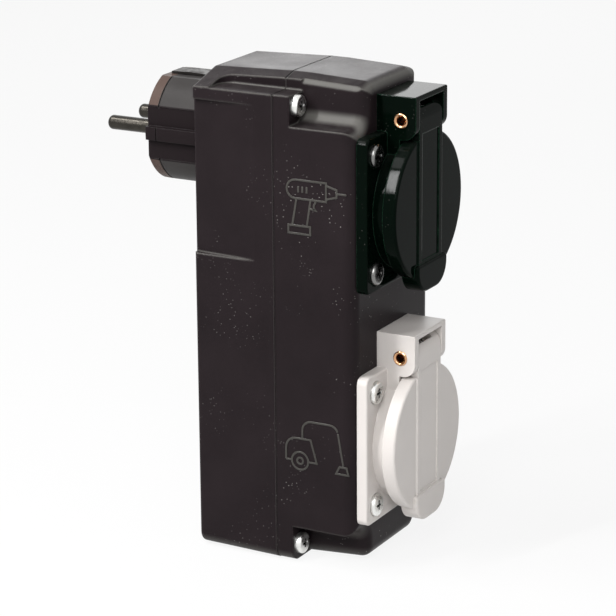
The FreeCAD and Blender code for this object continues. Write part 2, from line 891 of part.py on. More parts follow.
def earth_clip():
    """One bent strip: a spring finger at the top of the recess, a base behind it and one below."""
    base_y = cup_back + contact_block_depth + clip_base_gap
    upper = [
        (clip_mouth_gap - collar_height, clip_reach + clip_flare),
        (0, clip_reach - clip_bow),
        (recess_floor - clip_mouth_gap, clip_reach),
        (base_y, clip_reach),
    ]
    lower = [(y, -z) for y, z in reversed(upper)]
    return bent_strip(upper + lower, clip_thickness, clip_width, clip_bend)


def flange_screws():
    screw = headed_screw(flange_screw_head_radius, flange_screw_head_height + flange_screw_sink,
                         flange_screw_radius, flange_screw_length)
    return group([moved(screw, x, flange_screw_sink - flange_thickness, z) for x, z in flange_hole_places()])


def lid_cup():
    profile = [
        (0, -lid_face_out, 0),
        (lid_radius, -lid_face_out, lid_edge_radius),
        (lid_radius, -lid_back_out, 0),
        (lid_radius - lid_wall, -lid_back_out, 0),
        (lid_radius - lid_wall, lid_wall - lid_face_out, 0.8),
        (0, lid_wall - lid_face_out, 0),
    ]
    cup = turned_about_y(profile)
    return cup.cut(box_between(-lid_radius, lid_radius, -lid_face_out - 1, 0, lid_top_cut, lid_radius + 1))


def lid_tab():
    corners = [(tab_half_width, tab_bottom, tab_corner_radius), (tab_half_width, tab_top, 1.0)]
    tab = prism_xz(mirrored(corners), -tab_out, -lid_back_out)
    tab = tab.makeFillet(0.8, edges_in_plane_y(tab, -tab_out))
    inner = [(tab_half_width - tab_wall, tab_bottom + tab_wall, tab_corner_radius - tab_wall),
             (tab_half_width - tab_wall, tab_top, 0)]
    hollow = prism_xz(mirrored(inner), tab_wall + 0.4 - tab_out, 0)
    return tab.cut(hollow)


def lid_arm():
    """The rib that runs up into the hinge block and curls round the hinge pin."""
    knuckle_radius = rib_out - hinge_out
    rib_rise = rib_out - lid_face_out
    rib_plan = [(rib_half_width + rib_rise, -lid_face_out, 0), (rib_half_width, -rib_out, 0),
                (-rib_half_width, -rib_out, 0), (-rib_half_width - rib_rise, -lid_face_out, 0),
                (-rib_half_width, lid_wall - lid_face_out, 0), (rib_half_width, lid_wall - lid_face_out, 0)]
    rib = prism_xy(rib_plan, tab_top, lid_top_cut)
    arm_half = block_width / 2 - cheek_thickness - arm_side_gap
    arm = box_between(-arm_half, arm_half, -rib_out, arm_thickness - rib_out, lid_top_cut - 4, hinge_up)
    knuckle = round_x(knuckle_radius, -arm_half, arm_half, -hinge_out, hinge_up)
    half_gap = arm_half - knuckle_thickness
    gap = round_x(knuckle_radius - knuckle_skin, -half_gap, half_gap, -hinge_out, hinge_up)
    back_gap = box_between(-half_gap, half_gap, -hinge_out - knuckle_radius + knuckle_skin, 0,
                           hinge_up - knuckle_radius - 1, hinge_up + knuckle_radius + 1)
    return joined([rib, arm, knuckle]).cut([gap, back_gap])


def lid():
    body = joined([lid_cup(), lid_tab(), lid_arm()])
    panel = box_between(-panel_half_width, panel_half_width, -rib_out - 1, panel_sink - rib_out,
                        panel_bottom, panel_top)
    room = round_y(lid_radius - lid_wall, lid_wall - lid_face_out, 0)
    bore = round_x(hinge_pin_radius + pivot_clearance, -block_width, block_width, -hinge_out, hinge_up)
    return body.cut([panel, room, bore]).removeSplitter()


def lid_seal():
    front = lid_wall - lid_face_out
    back = front + lid_seal_thickness
    outer_radius = lid_radius - lid_wall - lid_seal_gap
    ring = round_y(outer_radius, front, back)
    return ring.cut(round_y(outer_radius - lid_seal_width, front - 1, back + 1))


def lid_pin():
    """A tube rivet through both cheeks and the lid's knuckle."""
    half_length = block_width / 2
    tube = round_x(hinge_pin_radius, -half_length, half_length)
    heads = [
        round_x(hinge_pin_head_radius, half_length, half_length + hinge_pin_head_height),
        round_x(hinge_pin_head_radius, -half_length - hinge_pin_head_height, -half_length),
    ]
    rivet = joined([tube] + heads).cut(round_x(hinge_pin_bore, -half_length - 1, half_length + 1))
    return moved(rivet, 0, -hinge_out, hinge_up)


def spring_point(angle):
    turns_along = angle / (2 * math.pi)
    x = (turns_along - spring_turns / 2) * spring_pitch
    return Vector(x, -spring_mean_radius * math.cos(angle), -spring_mean_radius * math.sin(angle))


def spring_way(angle):
    rise = spring_pitch / (2 * math.pi)
    way = Vector(rise, spring_mean_radius * math.sin(angle), -spring_mean_radius * math.cos(angle))
    return way.normalize()


def lid_spring():
    """A torsion spring with two straight legs that reach up, before and behind the pin."""
    quarter = math.pi / 2
    first = spring_point(0)
    edges = []
    for index in range(4 * spring_turns + 2):
        start = index * quarter
        end = start + quarter
        edges += two_arcs(spring_point(start), spring_way(start), spring_point(end), spring_way(end))
    last_angle = (4 * spring_turns + 2) * quarter
    last = spring_point(last_angle)
    leg_end = last + spring_way(last_angle) * spring_leg_length
    edges.append(Part.makeLine(last, leg_end))
    leg_start = first - spring_way(0) * spring_leg_length
    edges.insert(0, Part.makeLine(leg_start, first))
    section = wire_section(spring_wire / 2, leg_start, first - leg_start)
    coil = Part.Wire(edges).makePipeShell([section], True, False)
    return moved(coil, 0, -hinge_out, hinge_up)


def spring_gap():
    """The least free gap between neighbouring turns, measured on points of the wire's middle line."""
    steps = 24
    points = [spring_point(2 * math.pi * index / steps) for index in range(steps * spring_turns)]
    nearest = min((points[a] - points[b]).Length
                  for a in range(len(points)) for b in range(a + steps // 2, len(points)))
    return nearest - spring_wire


# Circuit board and what it carries

def board_hole_places():
    x = board_width / 2 - board_hole_inset
    z_high = board_top_z - board_hole_inset
    z_low = board_top_z - board_height + board_hole_inset
    return [(side * x, z) for z in (z_high, z_low) for side in (-1, 1)]


def on_board(place):
    """Where a place given as shares of the board stands, as (x, z)."""
    across, down = place
    return across * board_width / 2, board_top_z - down * board_height


def circuit_board():
    corners = rectangle(board_width / 2, board_top_z - board_height, board_top_z, board_corner_radius)
    board = prism_xz(corners, board_face_y, board_back_y)
    holes = [round_y(board_screw_radius + hole_clearance, board_face_y - 1, board_back_y + 1, x, z)
             for x, z in board_hole_places()]
    return board.cut(holes)


def board_screws():
    screw = headed_screw(board_screw_head_radius, board_screw_head_height, board_screw_radius,
                         board_screw_length)
    return group([moved(screw, x, board_face_y, z) for x, z in board_hole_places()])


def board_block(width, height_share, depth_share, place, radius):
    """A rounded block that stands on the board's face, centred on its place."""
    x, z = on_board(place)
    half_height = height_share * board_height / 2
    corners = [(x + width / 2, z - half_height, radius), (x + width / 2, z + half_height, radius),
               (x - width / 2, z + half_height, radius), (x - width / 2, z - half_height, radius)]
    return prism_xz(corners, board_face_y - depth_share * part_room, board_face_y)


def power_relay():
    return board_block(relay_width, relay_height_share, relay_depth_share, relay_place, relay_corner_radius)


def film_capacitor():
    return board_block(film_capacitor_width, film_capacitor_height_share, film_capacitor_depth_share,
                       film_capacitor_place, film_capacitor_corner_radius)


def control_chip():
    return board_block(chip_width, chip_height_share, chip_depth_share, chip_place, 0)


def terminal_pole_x(index):
    pitch = terminal_width_share * board_width / terminal_poles
    return (index - (terminal_poles - 1) / 2) * pitch


def terminal_block():
    """Terminal block with a screw well over each pole."""
    body = board_block(terminal_width_share * board_width, terminal_height_share, terminal_depth_share,
                       terminal_place, terminal_corner_radius)
    front = board_face_y - terminal_depth_share * part_room
    z = on_board(terminal_place)[1]
    wells = [round_y(terminal_well_radius, front - 1, front + terminal_well_depth, terminal_pole_x(index), z)
             for index in range(terminal_poles)]
    return body.cut(wells)


def transformer_y():
    return board_face_y - transformer_radius - transformer_gap


def current_transformer():
    """A ring core on a foot, with one mains wire passed through its bore."""
    x, z = on_board(transformer_place)
    centre_y = transformer_y()
    z_low = z - transformer_height / 2
    z_high = z_low + transformer_height
    half_foot = transformer_foot_width / 2
    ring = round_z(transformer_radius, z_low, z_high, x, centre_y)
    foot = box_between(x - half_foot, x + half_foot, board_face_y - transformer_foot_depth, board_face_y,
                       z_low, z_high)
    bore = round_z(transformer_bore_share * transformer_radius, z_low - 1, z_high + 1, x, centre_y)
    return joined([ring, foot]).cut(bore)


def fuse():
    """A glass tube between two metal caps."""
    x, z = on_board(fuse_place)
    y = board_face_y - fuse_height_over_board
    half = fuse_length_share * board_height / 2
    cap = fuse_cap_share * 2 * half
    glass = round_z(fuse_glass_radius, z - half + cap / 2, z + half - cap / 2, x, y)
    caps = [round_z(fuse_cap_radius, z - half, z - half + cap, x, y),
            round_z(fuse_cap_radius, z + half - cap, z + half, x, y)]
    return joined([glass] + caps)


def fuse_clips():
    """Two sprung cradles that grip the fuse's caps."""
    x, z = on_board(fuse_place)
    y = board_face_y - fuse_height_over_board
    half = fuse_length_share * board_height / 2
    half_clip = fuse_clip_width / 2
    half_mouth = fuse_clip_mouth / 2
    half_stem = fuse_clip_stem / 2
    clips = []
    for side in (-1, 1):
        middle = z + side * half * (1 - fuse_cap_share)
        low, high = middle - half_clip, middle + half_clip
        cradle = round_z(fuse_cap_radius + fuse_clip_thickness, low, high, x, y)
        bore = round_z(fuse_cap_radius + press_clearance, low - 1, high + 1, x, y)
        mouth = box_between(x - half_mouth, x + half_mouth, y - fuse_cap_radius - fuse_clip_thickness - 1, y,
                            low - 1, high + 1)
        stem_y = y + fuse_cap_radius + fuse_clip_thickness / 2
        stem = box_between(x - half_stem, x + half_stem, stem_y, board_face_y, low, high)
        clips.append(joined([cradle, stem]).cut([bore, mouth]))
    return group(clips)


def varistor():
    """A coated disc that stands on two legs."""
    x, z = on_board(varistor_place)
    radius = varistor_radius_share * part_room
    centre_y = board_face_y - radius - varistor_gap
    disc = round_x(radius, x - varistor_thickness / 2, x + varistor_thickness / 2, centre_y, z)
    legs = [round_y(varistor_leg_radius, centre_y, board_face_y, x, z + side * radius / 2)
            for side in (-1, 1)]
    return joined([disc] + legs)


def electrolytic_capacitor():
    """A can that lies on the board, with a crimped groove near one end."""
    x, z = on_board(electrolytic_place)
    radius = electrolytic_radius_share * part_room
    y = board_face_y - radius - press_clearance
    half = electrolytic_length_share * board_height / 2
    can = round_z(radius, z - half, z + half, x, y)
    groove_z = z - half + electrolytic_groove_above_base
    groove = round_z(radius + 1, groove_z, groove_z + electrolytic_groove_width, x, y)
    groove = groove.cut(round_z(radius - electrolytic_groove_depth, z - half, z + half, x, y))
    return can.cut(groove)


def resistors():
    """A row of coated resistors on bent leads."""
    x, z = on_board(resistor_first_place)
    step = resistor_step_share * board_width / 2
    y = board_face_y - resistor_radius - resistor_gap
    half = resistor_height_share * board_height / 2
    bodies = []
    for index in range(resistor_count):
        place_x = x + index * step
        body = round_z(resistor_radius, z - half, z + half, place_x, y)
        leads = []
        for side in (-1, 1):
            lead_z = z + side * (half - lead_inset)
            leads.append(box_between(place_x - lead_half, place_x + lead_half, y, board_face_y,
                                     lead_z - lead_half, lead_z + lead_half))
        bodies.append(joined([body] + leads))
    return group(bodies)


# Internal wires

def pin_terminal(side):
    y = inside_y - plug_flange_thickness - pin_shank_inside + pin_terminal_length / 2
    return (side * half_pins, y, -pin_terminal_radius)


def terminal_top(index):
    y = board_face_y - terminal_depth_share * part_room / 2
    z = on_board(terminal_place)[1] + terminal_height_share * board_height / 2
    return (terminal_pole_x(index), y, z)


def terminal_bottom(index):
    x, y, z = terminal_top(index)
    return (x, y, z - terminal_height_share * board_height)


def sleeve_end(side, centre):
    return (side * half_pins, front_y + cup_back + sleeve_length, centre)


def supply_wire(side, pole):
    start = pin_terminal(side)
    end = terminal_top(pole)
    below = (start[0], start[1], start[2] - wire_straight)
    above = (end[0], end[1], end[2] + wire_straight)
    return wire_along([start, below, above, end], wire_radius)


def supply_earth_wire():
    bridge_back = inside_y - plug_flange_thickness - earth_strip_bend - 1.5 * earth_strip_thickness
    start = (0, bridge_back, -earth_wire_drop)
    end = terminal_top(2)
    out = (0, start[1] - wire_straight, start[2])
    above = (0, end[1], end[2] + wire_straight)
    return wire_along([start, out, above, end], earth_wire_radius)


def into_sleeve(side, centre, rise):
    """The last corners of a wire that reaches a contact sleeve from behind, after a run at lane_y."""
    end = sleeve_end(side, centre)
    return [(end[0], lane_y, centre + rise), (end[0], end[1] + wire_straight, centre), end]


def tool_live_wire():
    """Down through the current transformer, then up in front of it to the upper socket."""
    start = terminal_bottom(0)
    x, z = on_board(transformer_place)
    ring_y = transformer_y()
    below = z - transformer_height / 2 - wire_straight
    out = (start[0], start[1], start[2] - transformer_entry)
    points = [start, out, (x, ring_y, z + transformer_height / 2), (x, ring_y, below), (x, lane_y, below)]
    return wire_along(points + into_sleeve(-1, upper_socket_z, -lane_drop), wire_radius)


def tool_neutral_wire():
    start = terminal_top(3)
    end = sleeve_end(1, upper_socket_z)
    above = (start[0], start[1], start[2] + wire_straight)
    behind = (end[0], end[1] + wire_straight, end[2])
    return wire_along([start, above, behind, end], wire_radius)


def vacuum_wire(side, pole):
    """From the bottom of the terminal block, in front of the tall parts, to the lower socket."""
    start = terminal_bottom(pole)
    below = (start[0], start[1], start[2] - terminal_exit)
    past_ring = (side * past_ring_x, lane_y + past_ring_behind_lane, start[2] - past_ring_drop)
    in_lane = (side * in_lane_x, lane_y, (start[2] + lower_socket_z + lane_drop) / 2)
    return wire_along([start, below, past_ring, in_lane] + into_sleeve(side, lower_socket_z, lane_drop),
                      wire_radius)


def earth_link_wire():
    """Joins the two sockets' earth clips."""
    y = front_y + cup_back + contact_block_depth + clip_base_gap + clip_thickness / 2
    behind = y + wire_straight
    return wire_along([(0, y, upper_socket_z), (0, behind, upper_socket_z), (0, behind, lower_socket_z),
                       (0, y, lower_socket_z)], earth_wire_radius)


def socket_pieces():
    """Every piece of one socket, made round the socket's own centre."""
    return {
        "socket_body": socket_body(),
        "socket_gasket": socket_gasket(),
        "contact_block": contact_block(),
        "contact_sleeves": contact_sleeves(),
        "earth_clip": earth_clip(),
        "flange_screws": flange_screws(),
        "lid": lid(),
        "lid_seal": lid_seal(),
        "lid_pin": lid_pin(),
        "lid_spring": lid_spring(),
    }


def main():
    os.makedirs("parts", exist_ok=True)
    save("front_shell", front_shell())
    save("rear_shell", rear_shell())
    save("shell_screws", shell_screws())
    save("plug_body", plug_body())
    save("plug_pins", plug_pins())
    save("plug_earth_contacts", plug_earth_contacts())
    save("plug_screws", plug_screws())
    pieces = socket_pieces()
    for prefix, centre in (("tool", upper_socket_z), ("vacuum", lower_socket_z)):
        for name, shape in pieces.items():
            save(prefix + "_" + name, moved(shape, 0, front_y, centre))
    save("circuit_board", circuit_board())
    save("board_screws", board_screws())
    save("power_relay", power_relay())
    save("film_capacitor", film_capacitor())
    save("control_chip", control_chip())
    save("terminal_block", terminal_block())
    save("current_transformer", current_transformer())
    save("fuse", fuse())
    save("fuse_clips", fuse_clips())
    save("varistor", varistor())
    save("electrolytic_capacitor", electrolytic_capacitor())
    save("resistors", resistors())
    save("supply_live_wire", supply_wire(-1, 0))
    save("supply_neutral_wire", supply_wire(1, 4))
    save("supply_earth_wire", supply_earth_wire())
    save("tool_live_wire", tool_live_wire())
    save("tool_neutral_wire", tool_neutral_wire())
    save("vacuum_live_wire", vacuum_wire(-1, 1))
    save("vacuum_neutral_wire", vacuum_wire(1, 3))
    save("earth_link_wire", earth_link_wire())
    print("least gap between the spring's turns:", round(spring_gap(), 2), "mm")


main()
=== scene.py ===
import json
import math

import bpy
from bpy.props import FloatProperty, FloatVectorProperty, IntProperty, PointerProperty
from mathutils import Matrix, Vector


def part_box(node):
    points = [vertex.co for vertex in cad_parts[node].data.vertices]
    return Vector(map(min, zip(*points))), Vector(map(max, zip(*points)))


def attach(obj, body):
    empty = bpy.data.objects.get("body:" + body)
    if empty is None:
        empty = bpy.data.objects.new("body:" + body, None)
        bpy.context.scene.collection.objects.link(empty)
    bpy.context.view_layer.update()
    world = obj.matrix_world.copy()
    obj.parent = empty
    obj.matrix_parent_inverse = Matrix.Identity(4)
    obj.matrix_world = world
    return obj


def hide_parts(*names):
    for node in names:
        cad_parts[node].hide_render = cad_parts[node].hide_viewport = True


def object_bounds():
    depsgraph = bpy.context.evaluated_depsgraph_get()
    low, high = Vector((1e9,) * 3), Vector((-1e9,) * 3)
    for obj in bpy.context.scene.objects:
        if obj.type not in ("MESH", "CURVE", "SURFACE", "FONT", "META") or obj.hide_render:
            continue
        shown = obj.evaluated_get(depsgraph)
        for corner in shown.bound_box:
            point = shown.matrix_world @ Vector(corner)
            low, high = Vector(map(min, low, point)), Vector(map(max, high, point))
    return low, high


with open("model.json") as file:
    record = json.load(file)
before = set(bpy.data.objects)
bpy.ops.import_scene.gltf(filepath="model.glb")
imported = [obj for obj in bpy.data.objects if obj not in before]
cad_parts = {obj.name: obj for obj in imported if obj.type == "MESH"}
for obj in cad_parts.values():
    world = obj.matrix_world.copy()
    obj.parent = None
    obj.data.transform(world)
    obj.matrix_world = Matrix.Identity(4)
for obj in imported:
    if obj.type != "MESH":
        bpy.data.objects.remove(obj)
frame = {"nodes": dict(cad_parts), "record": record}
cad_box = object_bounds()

bl_info = {
    "name": "Automatic switch unit",
    "version": (1, 0, 0),
    "blender": (4, 5, 0),
    "location": "View3D > Sidebar > Switch unit",
    "description": "Fasteners, springs, seals, signs, finishes and studio for the automatic switch unit",
    "category": "Object",
}

MM = 0.001
SOCKETS = ("tool", "vacuum")
# Points nearer to each other than this, in metres, are taken as one
SAME_PLACE = 1e-7
# The tool's flange screws have the record's zinc slot, and a darker finish of their own: a painted dark
# reflection of the black socket, with painted glints on their edges
DARKER_FINISHES = {"tool_flange_screws": "screw_dark"}

# Sizes that aren't settings
RIVET_OVERHANG = 0.45 * MM
RIVET_WALL = 0.6 * MM
SPRING_WIRE_RADIUS = 0.35 * MM
SPRING_TURNS = 3.5
SEAL_WIDTH = 3.4 * MM
PLUG_RIM_LENGTH = 4.0 * MM
PLUG_FLATS_HALF_HEIGHT = 9.0 * MM
# How deep the lines of a sign start in the housing's wall
SIGN_ROOT = 0.05 * MM
SIGN_EDGE = 0.08 * MM
# Each stroke of a sign is this much lower than the one before, so that strokes that cross share no face
STROKE_STEP = 0.006 * MM

# Tones of dust and pale specks, of painted shade in narrow hollows, of a painted highlight along the
# housing's seam and of a painted highlight on slants
DUST_TONE = (0.45, 0.43, 0.41, 1)
SPECK_TONE = (0.42, 0.40, 0.38, 1)
HOLLOW_SHADE_TONE = (0.008, 0.007, 0.006, 1)
SEAM_HIGHLIGHT_TONE = (0.030, 0.027, 0.027, 1)
SLANT_HIGHLIGHT_TONE = (0.104, 0.100, 0.093, 1)


# Settings

class UnitSizes(bpy.types.PropertyGroup):
    recess_width: FloatProperty(
        name="Recess width", description="Width of one wing of a screw's cross recess",
        default=0.0011, unit="LENGTH")
    recess_depth: FloatProperty(
        name="Recess depth", description="Depth of a screw's cross recess",
        default=0.0012, unit="LENGTH")
    recess_span: FloatProperty(
        name="Recess span", description="Length of the cross recess as a share of the head's width",
        default=0.62, min=0.3, max=0.9)
    dome_share: FloatProperty(
        name="Dome", description="Height of a screw head's dome as a share of the head's height",
        default=0.42, min=0.1, max=0.7)
    stroke_width: FloatProperty(
        name="Stroke width", description="Width of the raised lines of the signs",
        default=0.00065, unit="LENGTH")
    stroke_height: FloatProperty(
        name="Stroke height", description="How far the signs stand out of the housing's side",
        default=0.0002, unit="LENGTH")
    roll_radius: FloatProperty(
        name="Roll radius", description="Radius of the rolled edge of a tube rivet",
        default=0.0004, unit="LENGTH")
    seam_width: FloatProperty(
        name="Seam width", description="Width of the dark, soft line where the shells meet on the roof",
        default=0.0005, unit="LENGTH")
    round_steps: IntProperty(
        name="Round steps", description="Sides of a screw or rivet, and half the sides of a seal",
        default=48, min=12, max=96)


class UnitColours(bpy.types.PropertyGroup):
    housing: FloatVectorProperty(
        name="Housing", description="Colour of both shells", subtype="COLOR",
        size=4, min=0, max=1, default=(0.0142, 0.0103, 0.0116, 1))
    dark_socket: FloatVectorProperty(
        name="Dark socket", description="Colour of the tool's socket and lid", subtype="COLOR",
        size=4, min=0, max=1, default=(0.0008, 0.0028, 0.0016, 1))
    light_socket: FloatVectorProperty(
        name="Light socket", description="Colour of the vacuum cleaner's socket and lid", subtype="COLOR",
        size=4, min=0, max=1, default=(0.62, 0.585, 0.56, 1))
    plug: FloatVectorProperty(
        name="Plug", description="Colour of the plug's round sides", subtype="COLOR",
        size=4, min=0, max=1, default=(0.046, 0.043, 0.042, 1))
    plug_flats: FloatVectorProperty(
        name="Plug flats", description="Colour of the plug's flats and guide ribs", subtype="COLOR",
        size=4, min=0, max=1, default=(0.0135, 0.0100, 0.0110, 1))
    plug_rim: FloatVectorProperty(
        name="Plug rim", description="Colour of the band round the plug's mouth", subtype="COLOR",
        size=4, min=0, max=1, default=(0.088, 0.061, 0.052, 1))
    rivet: FloatVectorProperty(
        name="Rivet", description="Colour of the tube rivets", subtype="COLOR",
        size=4, min=0, max=1, default=(0.62, 0.36, 0.20, 1))


class UnitStudio(bpy.types.PropertyGroup):
    camera_place: FloatVectorProperty(
        name="Camera place", description="Where the camera stands", subtype="TRANSLATION",
        size=3, default=(-0.74497, -0.45651, 0.19963))
    camera_turn: FloatProperty(
        name="Turn", description="Heading of the camera, from +X towards +Y",
        default=math.radians(28.64), subtype="ANGLE")
    camera_tilt: FloatProperty(
        name="Tilt", description="How far the camera looks down",
        default=math.radians(16.85), subtype="ANGLE")
    camera_roll: FloatProperty(
        name="Roll", description="Roll of the camera about its own view",
        default=math.radians(-0.43), subtype="ANGLE")
    focal_length: FloatProperty(
        name="Focal length", description="Focal length on a 36 mm sensor", default=158.08, unit="CAMERA")
    strip_light: FloatProperty(
        name="Strip light", description="Power of the long narrow light on the left",
        default=8.5, unit="POWER")
    side_light: FloatProperty(
        name="Side light", description="Power of the broad soft light on the left",
        default=6.0, unit="POWER")
    top_light: FloatProperty(
        name="Top light", description="Power of the soft light overhead", default=3.5, unit="POWER")
    front_light: FloatProperty(
        name="Front light", description="Power of the soft light in front of the lids",
        default=1.2, unit="POWER")
    back_light: FloatProperty(
        name="Back light", description="Power of the low soft light behind the unit",
        default=0.9, unit="POWER")
    sky_level: FloatProperty(
        name="Sky level", description="Level of the even light from all round", default=0.2, min=0, max=2)
    floor_glow: FloatProperty(
        name="Floor glow", description="Share of plain white in what the camera sees of the floor",
        default=0.88, min=0, max=1)


# Modelling by hand

def leave_edit():
    if bpy.context.object is not None and bpy.context.object.mode != "OBJECT":
        bpy.ops.object.mode_set(mode="OBJECT")


def pick_none():
    leave_edit()
    bpy.ops.object.select_all(action="DESELECT")


def only(piece):
    pick_none()
    piece.select_set(True)
    bpy.context.view_layer.objects.active = piece


def started(name):
    """Names the primitive that was just added and settles its place into its mesh."""
    piece = bpy.context.object
    piece.name = name
    piece.data.name = name
    bpy.ops.object.transform_apply(location=True, rotation=True, scale=True)
    return piece


def edit_all(piece):
    """Opens a piece in edit mode with everything selected."""
    only(piece)
    bpy.ops.object.mode_set(mode="EDIT")
    bpy.ops.mesh.select_all(action="SELECT")


def clear_picks(piece, kind):
    """Leaves a piece with nothing selected, ready for its faces or edges to be picked."""
    only(piece)
    bpy.ops.object.mode_set(mode="EDIT")
    bpy.ops.mesh.select_mode(type=kind)
    bpy.ops.mesh.select_all(action="DESELECT")
    leave_edit()


def pick_faces(piece, wanted):
    """Selects in edit mode the faces for which wanted(face) is true."""
    clear_picks(piece, "FACE")
    for face in piece.data.polygons:
        face.select = wanted(face)
    bpy.ops.object.mode_set(mode="EDIT")


def pick_edges(piece, wanted):
    """Selects in edit mode the edges for which wanted(first point, second point) is true."""
    clear_picks(piece, "EDGE")
    points = [vertex.co.copy() for vertex in piece.data.vertices]
    for edge in piece.data.edges:
        edge.select = wanted(points[edge.vertices[0]], points[edge.vertices[1]])
    bpy.ops.object.mode_set(mode="EDIT")


def apply_modifier(piece, kind, **values):
    only(piece)
    modifier = piece.modifiers.new(kind.title(), kind)
    for key, value in values.items():
        setattr(modifier, key, value)
    bpy.ops.object.modifier_apply(modifier=modifier.name)


def merge_and_face_out(piece):
    """Merges doubles and turns the faces outwards. A negative volume shows that they all point in."""
    edit_all(piece)
    bpy.ops.mesh.remove_doubles(threshold=1e-6)
    bpy.ops.mesh.normals_make_consistent(inside=False)
    leave_edit()
    if sum(face.area * face.normal.dot(face.center) for face in piece.data.polygons) < 0:
        edit_all(piece)
        bpy.ops.mesh.flip_normals()
        leave_edit()


def smooth(piece, degrees=35):
    only(piece)
    bpy.ops.object.shade_smooth_by_angle(angle=math.radians(degrees))


def line_of_points(name, points, closed=False):
    """A wire drawn point by point by extruding one vertex."""
    pick_none()
    bpy.ops.mesh.primitive_plane_add(size=MM, location=points[0])
    piece = started(name)
    bpy.ops.object.mode_set(mode="EDIT")
    bpy.ops.mesh.select_mode(type="VERT")
    bpy.ops.mesh.select_all(action="SELECT")
    bpy.ops.mesh.merge(type="CENTER")
    for before, after in zip(points, points[1:]):
        step = Vector(after) - Vector(before)
        bpy.ops.mesh.extrude_region_move(TRANSFORM_OT_translate={"value": step})
    if closed:
        leave_edit()
        ends = (Vector(points[0]), Vector(points[-1]))
        for vertex in piece.data.vertices:
            vertex.select = any((vertex.co - end).length < SAME_PLACE for end in ends)
        bpy.ops.object.mode_set(mode="EDIT")
        bpy.ops.mesh.edge_face_add()
    leave_edit()
    return piece


def turned(name, points, centre, axis, steps):
    """A closed section drawn point by point and spun round an axis."""
    piece = line_of_points(name, points, closed=True)
    edit_all(piece)
    bpy.ops.mesh.spin(steps=steps, angle=2 * math.pi, center=centre, axis=axis)
    leave_edit()
    merge_and_face_out(piece)
    return piece


def copied(piece, name, offset):
    twin = piece.copy()
    twin.data = piece.data.copy()
    twin.data.transform(Matrix.Translation(offset))
    twin.name = name
    twin.data.name = name
    bpy.context.scene.collection.objects.link(twin)
    return twin


def join(pieces, name):
    pick_none()
    for piece in pieces:
        piece.select_set(True)
    bpy.context.view_layer.objects.active = pieces[0]
    bpy.ops.object.join()
    pieces[0].name = name
    pieces[0].data.name = name
    return pieces[0]


def slot_of(node):
    for subpart in frame["record"]["subparts"]:
        if subpart["node"] == node:
            return subpart["material_slot"]
    raise RuntimeError("no material slot for " + node)


def corners(node):
    """The two corners of the box round a CAD node, and the point midway."""
    low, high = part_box(node)
    low, high = Vector(low), Vector(high)
    return low, high, (low + high) / 2


def stand_in(piece, node, body):
    """Rides a finished piece on its body in place of a plainer CAD node."""
    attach(piece, body)
    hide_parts(node)
    piece.data.materials.append(finish_for(DARKER_FINISHES.get(node, slot_of(node))))


def stand_in_both(maker, part, rides_lid, sizes):
    """Model a part of the tool's socket, copy it to the vacuum's, and let each stand in for its node."""
    nodes = [socket + "_" + part for socket in SOCKETS]
    first = maker(nodes[0], sizes)
    step = Vector(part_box(nodes[1])[0]) - Vector(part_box(nodes[0])[0])
    second = copied(first, first.name.replace(*SOCKETS), step)
    for socket, node, piece in zip(SOCKETS, nodes, (first, second)):
        stand_in(piece, node, socket + "_lid" if rides_lid else "housing")


def islands(node):
    """The separate solids of a CAD node, each as the box round its points."""
    mesh = frame["nodes"][node].data
    keys = {}
    owner = []
    for vertex in mesh.vertices:
        key = tuple(round(value, 6) for value in vertex.co)
        owner.append(keys.setdefault(key, len(keys)))
    leader = list(range(len(keys)))

    def root(index):
        while leader[index] != index:
            leader[index] = leader[leader[index]]
            index = leader[index]
        return index

    for face in mesh.polygons:
        first = root(owner[face.vertices[0]])
        for corner in face.vertices[1:]:
            leader[root(owner[corner])] = first
    boxes = {}
    for key, index in keys.items():
        low, high = boxes.setdefault(root(index), ([1e9] * 3, [-1e9] * 3))
        for axis in range(3):
            low[axis] = min(low[axis], key[axis])
            high[axis] = max(high[axis], key[axis])
    return [(Vector(low), Vector(high)) for low, high in boxes.values()]


# Shader nodes

def feed(tree, socket, value):
    """Links an input to another node's output, or sets it to a plain value."""
    if hasattr(value, "is_linked"):
        tree.links.new(value, socket)
    else:
        socket.default_value = value


def feed_all(tree, node, **inputs):
    """Links or sets some inputs of a node, with _ in place of a space in their names."""
    for label, value in inputs.items():
        feed(tree, node.inputs[label.replace("_", " ")], value)
    return node


def added(tree, kind, **inputs):
    return feed_all(tree, tree.nodes.new("ShaderNode" + kind), **inputs)


def math_node(tree, operation, first, second=None, clamp=False):
    node = added(tree, "Math")
    node.operation = operation
    node.use_clamp = clamp
    feed(tree, node.inputs[0], first)
    if second is not None:
        feed(tree, node.inputs[1], second)
    return node.outputs[0]


def times(tree, first, second, clamp=False):
    return math_node(tree, "MULTIPLY", first, second, clamp)


def mapped(tree, value, low, high, to_low, to_high):
    """Maps a value from low to high onto to_low to to_high, and clamps it there."""
    node = added(tree, "MapRange", Value=value, From_Min=low, From_Max=high, To_Min=to_low, To_Max=to_high)
    return node.outputs["Result"]


def mixed(tree, factor, first, second):
    """Mixes two colours, each given as a socket or as a plain colour."""
    node = added(tree, "Mix")
    node.data_type = "RGBA"
    for number, value in ((0, factor), (6, first), (7, second)):
        feed(tree, node.inputs[number], value)
    return node.outputs[2]


def object_place(tree):
    return added(tree, "TexCoord").outputs["Object"]


def part_along(tree, vector, axis):
    return added(tree, "SeparateXYZ", Vector=vector).outputs[axis]


def noise(tree, place, scale, detail, roughness=0.5):
    node = added(tree, "TexNoise", Vector=place, Scale=scale, Detail=detail, Roughness=roughness)
    return node.outputs["Fac"]


# Shader node groups

def node_group(name, **defaults):
    """A new shader group, and what its inputs, which are numbers or directions, carry inside it."""
    group = bpy.data.node_groups.new(name, "ShaderNodeTree")
    for label, default in defaults.items():
        kind = "NodeSocketFloat" if isinstance(default, float) else "NodeSocketVector"
        socket = group.interface.new_socket(label.replace("_", " "), in_out="INPUT", socket_type=kind)
        socket.default_value = default
    return group, group.nodes.new("NodeGroupInput").outputs


